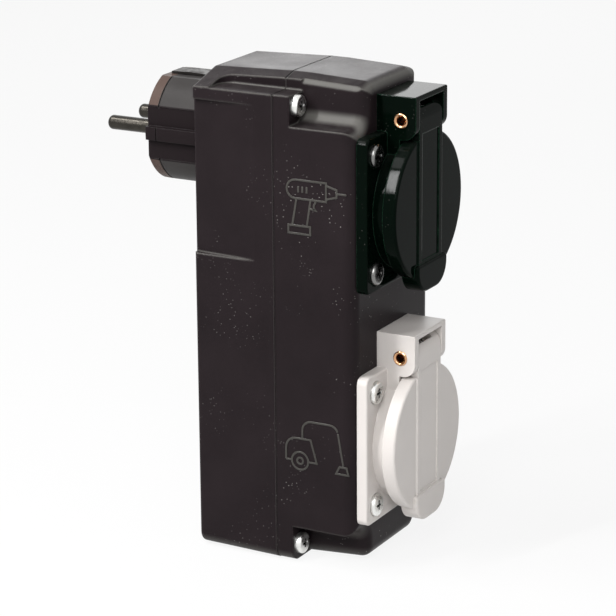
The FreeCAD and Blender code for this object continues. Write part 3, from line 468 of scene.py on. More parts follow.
def finished(group, **results):
    """Gives a shader group one output for each of its results."""
    for label, result in results.items():
        kind = "NodeSocketVector" if result.type == "VECTOR" else "NodeSocketFloat"
        group.interface.new_socket(label, in_out="OUTPUT", socket_type=kind)
    feed_all(group, group.nodes.new("NodeGroupOutput"), **results)
    return group


def make_edge_wear():
    """Mask of outer edges, broken up so that it looks handled and not drawn; it is used to lighten edges,
    partly as wear and partly as a painted highlight.
    """
    group, inputs = node_group("Edge wear", Width=0.0004, Amount=0.5)
    bevel = added(group, "Bevel", Radius=inputs["Width"])
    bevel.samples = 4
    dot = added(group, "VectorMath")
    dot.operation = "DOT_PRODUCT"
    feed(group, dot.inputs[0], bevel.outputs["Normal"])
    feed(group, dot.inputs[1], added(group, "NewGeometry").outputs["Normal"])
    edge = mapped(group, dot.outputs["Value"], 0.995, 0.80, 0.0, 1.0)
    patches = noise(group, object_place(group), 900, 4, 0.6)
    worn_and_lit_edges = times(group, edge, mapped(group, patches, 0.35, 0.65, 0.25, 1.0))
    return finished(group, Mask=times(group, worn_and_lit_edges, inputs["Amount"], clamp=True))


def make_moulded_grain():
    """Spark-eroded mould texture, with slow changes of tone over the wall."""
    group, inputs = node_group("Moulded grain", Scale=3000.0, Cloud_Scale=45.0)
    place = object_place(group)
    fine = noise(group, place, inputs["Scale"], 3, 0.6)
    pits = added(group, "TexVoronoi", Vector=place, Scale=inputs["Scale"])
    pits.feature = "SMOOTH_F1"
    height = math_node(group, "ADD", times(group, fine, 0.6), times(group, pits.outputs["Distance"], 0.4))
    return finished(group, Height=height, Cloud=noise(group, place, inputs["Cloud Scale"], 5, 0.55),
                    Speck=mapped(group, fine, 0.62, 0.72, 0.0, 1.0))


def make_fine_scratches():
    """Long, thin scratches in two directions, for metal that tools and plugs have rubbed."""
    group, inputs = node_group("Fine scratches", Scale=400.0)
    place = object_place(group)
    strands = []
    for stretch in ((1.0, 0.05, 1.0), (0.06, 1.0, 1.0)):
        drawn_out = added(group, "Mapping", Vector=place, Scale=stretch).outputs["Vector"]
        strands.append(noise(group, drawn_out, inputs["Scale"], 2))
    height = times(group, strands[0], strands[1])
    return finished(group, Height=height, Tone=mapped(group, height, 0.15, 0.35, 0.0, 1.0))


def make_soft_edges():
    """Normals that turn softly over each edge, as a moulded or rolled edge does."""
    group, inputs = node_group("Soft edges", Radius=0.0004)
    bevel = added(group, "Bevel", Radius=inputs["Radius"])
    bevel.samples = 6
    return finished(group, Normal=bevel.outputs["Normal"])


def make_hollows():
    """Mask of narrow hollows, where little light comes in, for painted shade."""
    group, inputs = node_group("Hollows", Reach=0.0015)
    shade = added(group, "AmbientOcclusion", Distance=inputs["Reach"])
    shade.samples = 8
    shade.only_local = True
    return finished(group, Mask=mapped(group, shade.outputs["AO"], 0.45, 0.88, 1.0, 0.0))


def make_specks():
    """Small pale specks that lie in loose clusters."""
    group, inputs = node_group("Pale specks", Scale=1000.0, Amount=0.4)
    place = object_place(group)
    dots = added(group, "TexVoronoi", Vector=place, Scale=inputs["Scale"]).outputs
    red = added(group, "SeparateColor", Color=dots["Color"]).outputs["Red"]
    small = mapped(group, dots["Distance"], 0.06, 0.18, 1.0, 0.0)
    chosen = mapped(group, red, 0.7, 0.8, 0.0, 1.0)
    cluster = mapped(group, noise(group, place, 38, 3, 0.6), 0.5, 0.62, 0.0, 1.0)
    dotted = times(group, times(group, small, chosen), cluster)
    return finished(group, Mask=times(group, dotted, inputs["Amount"], clamp=True))


def make_facing_up():
    """Mask of faces that look up."""
    group, inputs = node_group("Facing up", From=0.4)
    upward = part_along(group, added(group, "NewGeometry").outputs["Normal"], "Z")
    return finished(group, Mask=mapped(group, upward, inputs["From"], 1.0, 0.0, 1.0))


def make_slants():
    """Mask of faces and rounded edges that slant between upright and level, weaker where they face down,
    for a painted highlight on them.
    """
    group, inputs = node_group("Slanted faces", Normal=(0.0, 0.0, 0.0), Share_Below=0.35)
    upward = part_along(group, inputs["Normal"], "Z")
    lean = math_node(group, "ABSOLUTE", upward)
    rising = mapped(group, lean, 0.12, 0.5, 0.0, 1.0)
    falling = mapped(group, lean, 0.72, 0.93, 1.0, 0.0)
    above = mapped(group, upward, -0.05, 0.05, inputs["Share Below"], 1.0)
    return finished(group, Mask=times(group, times(group, rising, falling), above, clamp=True))


def make_dust():
    """Faint dust that settles on faces that look up."""
    group, inputs = node_group("Settled dust", Amount=0.15)
    upward = placed_group(group, "Facing up", From=0.4)["Mask"]
    patches = mapped(group, noise(group, object_place(group), 220, 6, 0.7), 0.4, 0.7, 0.1, 1.0)
    settled = times(group, upward, patches)
    return finished(group, Mask=times(group, settled, inputs["Amount"], clamp=True))


def make_band(axis):
    """Mask of a band across one axis, such as a seam or a coloured rim."""
    group, inputs = node_group("Band across " + axis, Place=0.0, Half_Width=0.001, Blur=0.0001)
    place = part_along(group, object_place(group), axis)
    away = math_node(group, "ABSOLUTE", math_node(group, "SUBTRACT", place, inputs["Place"]))
    outer = math_node(group, "ADD", inputs["Half Width"], inputs["Blur"])
    return finished(group, Mask=mapped(group, away, inputs["Half Width"], outer, 1.0, 0.0))


GROUP_MAKERS = {
    "Edge wear": make_edge_wear,
    "Moulded grain": make_moulded_grain,
    "Fine scratches": make_fine_scratches,
    "Facing up": make_facing_up,
    "Slanted faces": make_slants,
    "Settled dust": make_dust,
    "Soft edges": make_soft_edges,
    "Hollows": make_hollows,
    "Pale specks": make_specks,
    "Band across Y": lambda: make_band("Y"),
    "Band across Z": lambda: make_band("Z"),
}


def placed_group(tree, name, **inputs):
    """Places a shared effect, which is built on first use, and gives its outputs."""
    group = bpy.data.node_groups.get(name) or GROUP_MAKERS[name]()
    node = added(tree, "Group")
    node.node_tree = group
    return feed_all(tree, node, **inputs).outputs


# Materials

def new_material(name):
    """A material with its node tree and its Principled shader."""
    material = bpy.data.materials.new(name)
    material.use_nodes = True
    tree = material.node_tree
    return material, tree, tree.nodes["Principled BSDF"]


def bump(tree, shader, height, distance, **normal):
    """Raises the shader's surface by a height, on top of a normal if one is given."""
    raised = added(tree, "Bump", Strength=1.0, Distance=distance, Height=height, **normal).outputs["Normal"]
    feed_all(tree, shader, Normal=raised)
    return raised


def scaled(colour, factor):
    return tuple(min(1.0, channel * factor) for channel in colour[:3]) + (1,)


def moulded(name, colour, roughness=0.4, specular=0.4, grain=3000.0, depth=0.00002, clouds=0.14,
            wear=0.5, edge_rub_and_highlight_lift=2.2, dust=0.1, specks=0.0, edge=0.0004, bands=(), top_line=None,
            slant_highlight=None):
    """Moulded plastic: each of its bands is an axis, a place, a half width and a colour.

    The top line is a place and a half width across Y, and shows only on faces that look up.
    Slant highlight is the colour of a painted highlight on slants and rounded level edges.
    """
    material, tree, shader = new_material(name)
    texture = placed_group(tree, "Moulded grain", Scale=grain)
    cloud = mapped(tree, texture["Cloud"], 0.3, 0.7, 0.0, 1.0)
    tone = mixed(tree, cloud, scaled(colour, 1 - clouds), scaled(colour, 1 + clouds))
    tone = mixed(tree, times(tree, texture["Speck"], 0.3), tone, scaled(colour, 1 + 3 * clouds))
    for axis, place, half_width, band_colour in bands:
        band = placed_group(tree, "Band across " + axis, Place=place, Half_Width=half_width, Blur=0.00015)
        tone = mixed(tree, band["Mask"], tone, band_colour)
    worn_and_lit_edges = placed_group(tree, "Edge wear", Width=0.00035, Amount=wear)["Mask"]
    # Edges lighten by the lift: partly wear, partly a painted highlight along them
    tone = mixed(tree, worn_and_lit_edges, tone, scaled(colour, edge_rub_and_highlight_lift))
    normal = placed_group(tree, "Soft edges", Radius=edge)["Normal"]
    # Slants and rounded level edges take a painted highlight
    if slant_highlight:
        slant_highlight_mask = placed_group(tree, "Slanted faces", Normal=normal)["Mask"]
        tone = mixed(tree, slant_highlight_mask, tone, slant_highlight)
    if top_line:
        line = placed_group(tree, "Band across Y", Place=top_line[0], Half_Width=top_line[1] / 4,
                            Blur=0.75 * top_line[1])
        seen = times(tree, line["Mask"], placed_group(tree, "Facing up", From=0.6)["Mask"])
        tone = mixed(tree, seen, tone, scaled(colour, 0.1))
    tone = mixed(tree, placed_group(tree, "Settled dust", Amount=dust)["Mask"], tone, DUST_TONE)
    if specks:
        tone = mixed(tree, placed_group(tree, "Pale specks", Amount=specks)["Mask"], tone, SPECK_TONE)
    rough = mapped(tree, texture["Cloud"], 0.3, 0.7, roughness * 0.85, min(1.0, roughness * 1.15))
    rough = math_node(tree, "ADD", rough, times(tree, worn_and_lit_edges, -0.1 * roughness))
    feed_all(tree, shader, Base_Color=tone, Roughness=rough, Specular_IOR_Level=specular)
    if top_line:
        normal = bump(tree, shader, math_node(tree, "SUBTRACT", 1.0, seen), 0.0006, Normal=normal)
    bump(tree, shader, texture["Height"], depth, Normal=normal)
    return material


def metal(name, colour, roughness=0.2, scratch_scale=500.0, depth=0.00001, tarnish=0.2, edge_rub_and_glint=1.3):
    """Metal with fine scratches, dull spots, edges lightened partly by wear and partly as painted glints,
    and painted shade in its narrow hollows.
    """
    material, tree, shader = new_material(name)
    scratches = placed_group(tree, "Fine scratches", Scale=scratch_scale)
    spots = mapped(tree, noise(tree, object_place(tree), 350, 5, 0.6), 0.45, 0.75, 0.0, tarnish)
    tone = mixed(tree, spots, colour, scaled(colour, 0.35))
    tone = mixed(tree, times(tree, scratches["Tone"], 0.25), tone, scaled(colour, 1.25))
    worn_and_lit_edges = placed_group(tree, "Edge wear", Width=0.0002, Amount=0.5)["Mask"]
    tone = mixed(tree, worn_and_lit_edges, tone, scaled(colour, edge_rub_and_glint))
    # Narrow hollows darken: painted shade
    tone = mixed(tree, placed_group(tree, "Hollows", Reach=0.0015)["Mask"], tone, HOLLOW_SHADE_TONE)
    rough = mapped(tree, spots, 0.0, max(tarnish, 0.01), roughness, min(1.0, roughness + 0.25))
    feed_all(tree, shader, Metallic=1.0, Base_Color=tone, Roughness=rough)
    bump(tree, shader, scratches["Height"], depth)
    return material


def clear_glass(name):
    """Clear glass with faint smears."""
    material, tree, shader = new_material(name)
    smear = mapped(tree, noise(tree, object_place(tree), 300, 4), 0.4, 0.7, 0.02, 0.12)
    ends = mapped(tree, noise(tree, object_place(tree), 120, 2), 0.3, 0.7, 0.0, 1.0)
    tone = mixed(tree, ends, (0.86, 0.9, 0.9, 1), (0.94, 0.96, 0.96, 1))
    feed_all(tree, shader, Transmission_Weight=0.85, IOR=1.5, Base_Color=tone, Roughness=smear)
    return material


def circuit_green(name, colour):
    """Solder mask over copper tracks that run in steps along the board."""
    material, tree, shader = new_material(name)
    place = object_place(tree)
    turned_place = added(tree, "Mapping", Vector=place, Rotation=(math.pi / 2, 0, 0)).outputs["Vector"]
    tracks = added(tree, "TexBrick", Vector=turned_place, Scale=260, Mortar_Size=0.03).outputs["Fac"]
    tone = mixed(tree, tracks, colour, scaled(colour, 1.8))
    blotch = mapped(tree, noise(tree, place, 90, 5), 0.3, 0.7, 0.0, 0.4)
    tone = mixed(tree, blotch, tone, scaled(colour, 0.7))
    feed_all(tree, shader, Base_Color=tone, Roughness=mapped(tree, tracks, 0, 1, 0.35, 0.22))
    bump(tree, shader, tracks, 0.00003)
    return material


def housing_finish(colours, sizes):
    """The shells' fine textured plastic, with the dark seam on the roof, a painted highlight along the seam
    on the sides and on slants, edges lightened partly by wear and partly as a painted highlight, and pale
    specks.
    """
    seam_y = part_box("rear_shell")[0][1]
    # The band along the seam is paler than the shells: a painted highlight on the step where they meet
    return moulded("Fine textured housing", tuple(colours.housing), roughness=0.34, specular=0.06,
                   grain=2600.0, depth=0.00003, wear=0.7, edge_rub_and_highlight_lift=5.0, dust=0.05, specks=0.9,
                   edge=0.0011, bands=[("Y", seam_y, 0.0002, SEAM_HIGHLIGHT_TONE)],
                   top_line=(seam_y, sizes.seam_width / 2), slant_highlight=SLANT_HIGHLIGHT_TONE)


def plug_finish(colours):
    """The plug's satin plastic, with its darker flats and the band round its mouth."""
    rim_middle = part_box("plug_body")[1][1] - PLUG_RIM_LENGTH / 2
    return moulded("Satin plug", tuple(colours.plug), roughness=0.34, specular=0.04, grain=2200.0,
                   depth=0.00002, wear=0.4, edge_rub_and_highlight_lift=1.6, dust=0.0,
                   bands=[("Y", rim_middle, 0.45 * PLUG_RIM_LENGTH, tuple(colours.plug_rim)),
                          ("Z", 0.0, PLUG_FLATS_HALF_HEIGHT, tuple(colours.plug_flats))])


def dark_socket_finish(colours):
    # Its edges lighten 22 times, partly as wear and partly as a painted highlight
    return moulded("Glossy dark socket", tuple(colours.dark_socket), roughness=0.07, specular=0.023,
                   grain=1200.0, depth=0.000003, wear=0.9, edge_rub_and_highlight_lift=22.0, dust=0.02, specks=0.25,
                   edge=0.0006)


def light_socket_finish(colours):
    return moulded("Glossy light socket", tuple(colours.light_socket), roughness=0.36, specular=0.2,
                   grain=1500.0, depth=0.000005, clouds=0.025, wear=1.0, edge_rub_and_highlight_lift=1.45, dust=0.0)


SMOOTH_CASE = {"roughness": 0.25, "grain": 900.0, "depth": 0.000005}
INSULATION = {"roughness": 0.35, "grain": 1200.0, "depth": 0.00001}
# Finishes without settings: what makes them, the material's name, its colour and its other values
PLAIN_FINISHES = {
    "screw_zinc": (metal, "Bright zinc", (0.80, 0.80, 0.78), {"roughness": 0.27, "tarnish": 0.4}),
    # The dark colour of these screws is a painted reflection of the black socket, and their lightened edges
    # are painted glints
    "screw_dark": (metal, "Darkened zinc", (0.21, 0.21, 0.205),
                   {"roughness": 0.2, "tarnish": 0.5, "edge_rub_and_glint": 5.0}),
    # The pins' near-black colour is painted shade
    "pin_nickel": (metal, "Polished nickel", (0.05, 0.046, 0.04), {"roughness": 0.18, "tarnish": 0.6}),
    "earth_steel": (metal, "Plated spring strip", (0.035, 0.032, 0.03), {"roughness": 0.4}),
    "spring_steel": (metal, "Spring wire", (0.5, 0.5, 0.5), {"roughness": 0.25, "scratch_scale": 1500.0}),
    "seal_rubber": (moulded, "Seal rubber", (0.02, 0.02, 0.02),
                    {"roughness": 0.7, "specular": 0.3, "grain": 1800.0, "depth": 0.00003,
                     "wear": 0.3, "dust": 0.2}),
    # The sign lines are paler than the housing: a painted highlight
    "rubbed_lines": (moulded, "Rubbed sign lines", (0.036, 0.034, 0.030),
                     {"roughness": 0.3, "specular": 0.3, "grain": 2600.0, "depth": 0.00002,
                      "wear": 0.8, "edge_rub_and_highlight_lift": 2.5, "edge": 0.0002}),
    "contact_holder": (moulded, "Glass-filled holder", (0.7, 0.67, 0.6),
                       {"roughness": 0.55, "grain": 2400.0, "edge_rub_and_highlight_lift": 1.2}),
    "board_green": (circuit_green, "Solder mask", (0.03, 0.16, 0.07), {}),
    "relay_blue": (moulded, "Smooth blue case", (0.03, 0.11, 0.33), SMOOTH_CASE),
    "capacitor_yellow": (moulded, "Smooth yellow case", (0.7, 0.46, 0.05), SMOOTH_CASE),
    "chip_black": (moulded, "Moulded black case", (0.02, 0.02, 0.02), {"roughness": 0.5, "grain": 2800.0}),
    "terminal_green": (moulded, "Terminal case", (0.06, 0.3, 0.13), {"roughness": 0.4}),
    "resistor_tan": (moulded, "Coated resistor", (0.55, 0.42, 0.26), {"roughness": 0.35, "grain": 1500.0}),
    "wire_brown": (moulded, "Insulation wire_brown", (0.17, 0.065, 0.025), INSULATION),
    "wire_blue": (moulded, "Insulation wire_blue", (0.04, 0.12, 0.42), INSULATION),
    "wire_earth": (moulded, "Insulation wire_earth", (0.22, 0.42, 0.05), INSULATION),
}


def make_finish(finish):
    """The material for a slot of the record, or for one of the scene's own finishes."""
    colours = bpy.context.scene.unit_colours
    if finish == "housing_black":
        return housing_finish(colours, bpy.context.scene.unit_sizes)
    if finish == "plug_grey":
        return plug_finish(colours)
    if finish == "socket_black":
        return dark_socket_finish(colours)
    if finish == "socket_grey":
        return light_socket_finish(colours)
    if finish == "brass":
        return metal("Rolled brass", tuple(colours.rivet), roughness=0.2, tarnish=0.3)
    if finish == "fuse_glass":
        return clear_glass("Fuse glass")
    if finish not in PLAIN_FINISHES:
        raise RuntimeError("no finish for " + finish)
    maker, name, colour, values = PLAIN_FINISHES[finish]
    return maker(name, colour + (1,), **values)


made_finishes = {}


def finish_for(finish):
    if finish not in made_finishes:
        made_finishes[finish] = make_finish(finish)
    return made_finishes[finish]


# Pieces

def plain_screw_sizes(node, low, high):
    """Shank radius and head height of the plain CAD screw in the box from low to high."""
    middle = (low + high) / 2
    head_radius = (high.x - low.x) / 2
    radii = {}
    for vertex in frame["nodes"][node].data.vertices:
        away = math.hypot(vertex.co.x - middle.x, vertex.co.z - middle.z)
        if away <= head_radius * 1.01:
            radii.setdefault(round(vertex.co.y, 6), []).append(away)
    head_back = max(y for y, found in radii.items() if max(found) > head_radius * 0.98)
    shank_radius = max(away for y, found in radii.items() if y > head_back + 0.1 * MM for away in found)
    return shank_radius, head_back - low.y


def cross_screw(node, low, high, sizes):
    """One screw along +Y: a domed head with a cross recess, a shank and a cone tip."""
    middle = (low + high) / 2
    head_radius = (high.x - low.x) / 2
    shank_radius, head_height = plain_screw_sizes(node, low, high)
    head_middle = Vector((middle.x, low.y + head_height / 2, middle.z))
    pick_none()
    bpy.ops.mesh.primitive_cylinder_add(vertices=sizes.round_steps, radius=head_radius, depth=head_height,
                                        location=head_middle, rotation=(math.pi / 2, 0, 0))
    screw = started("screw")
    pick_faces(screw, lambda face: face.normal.y > 0.9)
    bpy.ops.mesh.inset(thickness=head_radius - shank_radius)
    underside = low.y + head_height
    bpy.ops.mesh.extrude_region_move(
        TRANSFORM_OT_translate={"value": (0, high.y - underside - shank_radius, 0)})
    bpy.ops.mesh.extrude_region_move(TRANSFORM_OT_translate={"value": (0, shank_radius, 0)})
    bpy.ops.transform.resize(value=(0.05, 1, 0.05), center_override=(middle.x, high.y, middle.z))
    pick_edges(screw, lambda a, b: abs(a.y - low.y) < SAME_PLACE and abs(b.y - low.y) < SAME_PLACE)
    bpy.ops.mesh.bevel(offset=head_height * sizes.dome_share, segments=5, profile=0.6)
    leave_edit()
    for turn in (0, math.pi / 2):
        cutter = recess_wing(middle, low.y, head_radius, turn, sizes)
        apply_modifier(screw, "BOOLEAN", operation="DIFFERENCE", object=cutter, solver="EXACT")
        bpy.data.objects.remove(cutter)
    smooth(screw, 30)
    return screw


def recess_wing(middle, face_y, head_radius, turn, sizes):
    """A tapered bar that cuts one of the two wings of a cross recess."""
    pick_none()
    depth = 2 * sizes.recess_depth
    span = 2 * head_radius * sizes.recess_span
    bpy.ops.mesh.primitive_cube_add(size=1, location=(middle.x, face_y, middle.z), rotation=(0, turn, 0),
                                    scale=(span, depth, sizes.recess_width))
    wing = started("recess_wing")
    pick_faces(wing, lambda face: face.normal.y > 0.9)
    bpy.ops.transform.resize(value=(0.45, 1, 0.45),
                             center_override=(middle.x, face_y + depth / 2, middle.z))
    leave_edit()
    return wing


def four_screws(node, sizes):
    """The four screws of a node, of which one is modelled and the others are copies."""
    boxes = islands(node)
    if len(boxes) != 4:
        raise RuntimeError(node + " should hold four screws")
    low, high = boxes[0]
    first = cross_screw(node, low, high, sizes)
    copies = [copied(first, node + "_copy", box[0] - low) for box in boxes[1:]]
    return join([first] + copies, "cross_" + node)


def rolled_rivet(node, sizes):
    """A tube rivet along X whose two ends are rolled over."""
    low, high, middle = corners(node)
    head_radius = (high.y - low.y) / 2
    roll = sizes.roll_radius
    half = (high.x - low.x) / 2
    tube_outer = head_radius - RIVET_OVERHANG
    tube_inner = tube_outer - RIVET_WALL
    right = [(half - 2.2 * roll, tube_outer), (half - 2 * roll, head_radius - 0.3 * roll),
             (half - 1.4 * roll, head_radius), (half - 0.5 * roll, head_radius - 0.15 * roll),
             (half, head_radius - 0.9 * roll), (half - 0.1 * roll, head_radius - 1.7 * roll),
             (half - 0.6 * roll, tube_inner + 0.25 * roll), (half - 1.6 * roll, tube_inner)]
    left = [(-x, r) for x, r in reversed(right)]
    points = [(middle.x + x, middle.y, middle.z + r) for x, r in right + left]
    rivet = turned("rivet_" + node, points, middle, (1, 0, 0), sizes.round_steps)
    smooth(rivet, 40)
    return rivet


def wound_spring(node, sizes):
    """A torsion spring wound round X, with both legs drawn out straight."""
    low, high, middle = corners(node)
    wire = SPRING_WIRE_RADIUS
    mean = (high.y - low.y) / 2 - wire
    middle.z = low.z + wire + mean
    length = high.x - low.x - 2 * wire
    first = Vector((low.x + wire, middle.y - mean, middle.z))
    pick_none()
    bpy.ops.mesh.primitive_circle_add(vertices=16, radius=wire, location=first)
    spring = started("spring_" + node)
    bpy.context.scene.cursor.location = (0, middle.y, middle.z)
    bpy.ops.object.origin_set(type="ORIGIN_CURSOR")
    apply_modifier(spring, "SCREW", axis="X", angle=-SPRING_TURNS * 2 * math.pi, screw_offset=length,
                   steps=100, render_steps=100, use_merge_vertices=False)
    bpy.ops.object.transform_apply(location=True, rotation=True, scale=True)
    bpy.context.scene.cursor.location = (0, 0, 0)
    for end_x, side in ((first.x, -1), (first.x + length, 1)):
        pick_edges(spring, lambda a, b: abs(a.z - middle.z) < 1e-6 and abs(b.z - middle.z) < 1e-6
                   and abs(a.x - end_x) < 1.05 * wire and (a.y - middle.y) * side > 0)
        bpy.ops.mesh.extrude_region_move(TRANSFORM_OT_translate={"value": (0, 0, high.z - middle.z)})
        bpy.ops.mesh.edge_face_add()
        leave_edit()
    merge_and_face_out(spring)
    smooth(spring, 50)
    return spring


def lipped_seal(node, sizes):
    """A lid's sealing ring with two rounded lips towards the collar."""
    low, high, middle = corners(node)
    outer = (high.x - low.x) / 2
    inner = outer - SEAL_WIDTH
    floor_y = high.y - 0.55 * (high.y - low.y)
    lip_share = 0.38
    section = [(inner, low.y), (outer, low.y), (outer, floor_y)]
    for share in (0.97, 0.9, 0.78, 0.68, 0.5, 0.32, 0.22, 0.1, 0.03):
        along = share if share < 0.5 else share - (1 - lip_share)
        lift = max(math.sin(math.pi * along / lip_share), 0.0)
        section.append((inner + SEAL_WIDTH * share, floor_y + (high.y - floor_y) * lift))
    section.append((inner, floor_y))
    points = [(middle.x + r, y, middle.z) for r, y in section]
    seal = turned("seal_" + node, points, middle, (0, 1, 0), 2 * sizes.round_steps)
    smooth(seal, 40)
    return seal


def arc_points(centre_u, centre_v, radius, start, end, steps):
    """Points on an arc, with angles in degrees."""
    points = []
    for index in range(steps + 1):
        angle = math.radians(start + (end - start) * index / steps)
        points.append((centre_u + radius * math.cos(angle), centre_v + radius * math.sin(angle)))
    return points


def drill_strokes():
    """Lines of a hand drill seen from the side, in millimetres."""
    body = [(4.5, 2.2)] + arc_points(-6.5, 5.2, 3.0, 270, 90, 8) + [(4.5, 8.2), (4.5, 2.2)]
    chuck = [(4.5, 3.0), (8.2, 4.0), (8.2, 6.4), (4.5, 7.4)]
    bit = [(8.2, 5.2), (11.6, 5.2)]
    handle = [(-6.0, 2.2), (-7.6, -6.6), (-2.4, -6.6), (-1.0, 2.2)]
    foot = [(-9.0, -6.6), (-1.2, -6.6), (-1.2, -9.2), (-9.0, -9.2), (-9.0, -6.6)]
    trigger = [(0.8, 2.2)] + arc_points(1.6, 0.2, 1.5, 130, 230, 5) + [(-1.4, -0.6)]
    vents = [[(-5.4 + step, 4.2), (-5.4 + step, 6.2)] for step in (0.0, 1.5, 3.0)]
    return [body, chuck, bit, handle, foot, trigger] + vents


def cleaner_strokes():
    """Lines of a floor vacuum cleaner with its hose, in millimetres."""
    front = [(-1.6, 2.0), (0.6, -5.6), (-2.2, -5.6)]
    hull = [(-10.6, -5.6)] + arc_points(-7.0, -1.6, 3.6, 180, 90, 6) + front
    rear = [(-10.6, -5.6), (-8.8, -5.6)]
    wheel = arc_points(-5.5, -5.6, 3.0, 0, 360, 20)
    hub = arc_points(-5.5, -5.6, 1.1, 0, 360, 12)
    hose = [(-4.6, 2.0)] + arc_points(-1.4, 5.0, 3.2, 180, 90, 6) + arc_points(5.4, 5.2, 3.0, 90, 20, 4)
    wand = [(8.3, 5.8), (10.2, -5.0)]
    nozzle = [(7.6, -7.8), (12.0, -7.8), (11.4, -5.4), (8.8, -5.4), (7.6, -7.8)]
    return [hull, rear, wheel, hub, hose, wand, nozzle]


def raised_sign(name, strokes, centre_y, centre_z, face_x, sizes):
    """Raised lines on the housing's left side, moulded with it."""
    ribs = []
    for number, stroke in enumerate(strokes):
        closed = len(stroke) > 2 and math.dist(stroke[0], stroke[-1]) < 0.01
        used = stroke[:-1] if closed else stroke
        points = [(face_x + SIGN_ROOT, centre_y - u * MM, centre_z + v * MM) for u, v in used]
        height = sizes.stroke_height - number * STROKE_STEP
        rib = line_of_points(name + "_line" + str(number), points, closed=closed)
        edit_all(rib)
        bpy.ops.mesh.extrude_region_move(TRANSFORM_OT_translate={"value": (-height - SIGN_ROOT, 0, 0)})
        bpy.ops.mesh.select_all(action="SELECT")
        bpy.ops.mesh.normals_make_consistent(inside=False)
        leave_edit()
        apply_modifier(rib, "SOLIDIFY", thickness=sizes.stroke_width, offset=0, use_even_offset=True)
        apply_modifier(rib, "BEVEL", width=SIGN_EDGE, segments=2, limit_method="ANGLE")
        merge_and_face_out(rib)
        ribs.append(rib)
    sign = join(ribs, name)
    smooth(sign, 40)
    return sign


# Studio

def white_for_views(tree):
    """One where the camera, a reflection or a clear piece looks, and none for the light itself."""
    rays = added(tree, "LightPath").outputs
    seen = math_node(tree, "MAXIMUM", rays["Is Camera Ray"], rays["Is Glossy Ray"])
    return math_node(tree, "MAXIMUM", seen, rays["Is Transmission Ray"])


def lay_floor(studio):
    """A pale floor whose colour fades to plain white and that keeps the unit's shadow."""
    pick_none()
    level = cad_box[0][2] - 0.0002
    bpy.ops.mesh.primitive_plane_add(size=6.0, location=(0, 0, level))
    floor = started("floor")
    bpy.ops.object.mode_set(mode="EDIT")
    bpy.ops.mesh.subdivide(number_cuts=5)
    leave_edit()
    material, tree, shader = new_material("Pale floor")
    tone = mixed(tree, noise(tree, object_place(tree), 3, 2), (0.71, 0.71, 0.71, 1), (0.74, 0.74, 0.74, 1))
    feed_all(tree, shader, Base_Color=tone, Roughness=0.9, Specular_IOR_Level=0.1)
    glow = added(tree, "Emission", Color=(1, 1, 1, 1))
    mix = added(tree, "MixShader")
    glow_share = times(tree, white_for_views(tree), studio.floor_glow)
    for number, value in enumerate((glow_share, shader.outputs[0], glow.outputs[0])):
        feed(tree, mix.inputs[number], value)
    feed_all(tree, tree.nodes["Material Output"], Surface=mix.outputs[0])
    floor.data.materials.append(material)


def light_sky(scene, studio):
    """An even pale sky: plain white to look at, and softer as a light."""
    world = bpy.data.worlds.new("Pale sky")
    scene.world = world
    world.use_nodes = True
    tree = world.node_tree
    strength = mapped(tree, white_for_views(tree), 0, 1, studio.sky_level, 1.0)
    feed_all(tree, tree.nodes["Background"], Color=(1, 1, 1, 1), Strength=strength)


def soft_light(name, place, target, width, height, power, along=Vector((0, 0, 1))):
    """A soft light that faces its target, with its height running along one direction."""
    data = bpy.data.lights.new(name, "AREA")
    data.shape = "RECTANGLE"
    data.size = width
    data.size_y = height
    data.energy = power
    lamp = bpy.data.objects.new(name, data)
    back = (place - target).normalized()
    across = along.cross(back).normalized()
    axes = Matrix((across, back.cross(across), back)).transposed().to_4x4()
    lamp.matrix_world = Matrix.Translation(place) @ axes
    bpy.context.scene.collection.objects.link(lamp)


def set_camera(scene, studio):
    """Stands the camera where its place, turn, tilt and roll say."""
    turn, tilt, roll = studio.camera_turn, studio.camera_tilt, studio.camera_roll
    ahead = Vector((math.cos(turn) * math.cos(tilt), math.sin(turn) * math.cos(tilt), -math.sin(tilt)))
    level_right = ahead.cross(Vector((0, 0, 1))).normalized()
    level_up = level_right.cross(ahead)
    right = level_right * math.cos(roll) + level_up * math.sin(roll)
    up = level_up * math.cos(roll) - level_right * math.sin(roll)
    data = bpy.data.cameras.new("camera")
    data.sensor_width = 36
    data.lens = studio.focal_length
    camera = bpy.data.objects.new("camera", data)
    axes = Matrix((right, up, -ahead)).transposed().to_4x4()
    camera.matrix_world = Matrix.Translation(Vector(studio.camera_place)) @ axes
    scene.collection.objects.link(camera)
    scene.camera = camera


# Operators

class UNIT_OT_cross_screws(bpy.types.Operator):
    """Model the domed screws with cross recesses in place of the plain ones"""
    bl_idname = "switch_unit.cross_screws"
    bl_label = "Cross-recess screws"

    def execute(self, context):
        sizes = context.scene.unit_sizes
        stand_in(four_screws("shell_screws", sizes), "shell_screws", "housing")
        stand_in_both(four_screws, "flange_screws", False, sizes)
        return {"FINISHED"}


class UNIT_OT_tube_rivets(bpy.types.Operator):
    """Model the rolled tube rivets on which the lids turn"""
    bl_idname = "switch_unit.tube_rivets"
    bl_label = "Tube rivets"

    def execute(self, context):
        stand_in_both(rolled_rivet, "lid_pin", False, context.scene.unit_sizes)
        return {"FINISHED"}


class UNIT_OT_lid_springs(bpy.types.Operator):
    """Wind the torsion springs that close the lids"""
    bl_idname = "switch_unit.lid_springs"
    bl_label = "Lid springs"

    def execute(self, context):
        stand_in_both(wound_spring, "lid_spring", True, context.scene.unit_sizes)
        return {"FINISHED"}


class UNIT_OT_lid_seals(bpy.types.Operator):
    """Turn the lipped sealing rings inside the lids"""
    bl_idname = "switch_unit.lid_seals"
    bl_label = "Lid seals"

    def execute(self, context):
        stand_in_both(lipped_seal, "lid_seal", True, context.scene.unit_sizes)
        return {"FINISHED"}


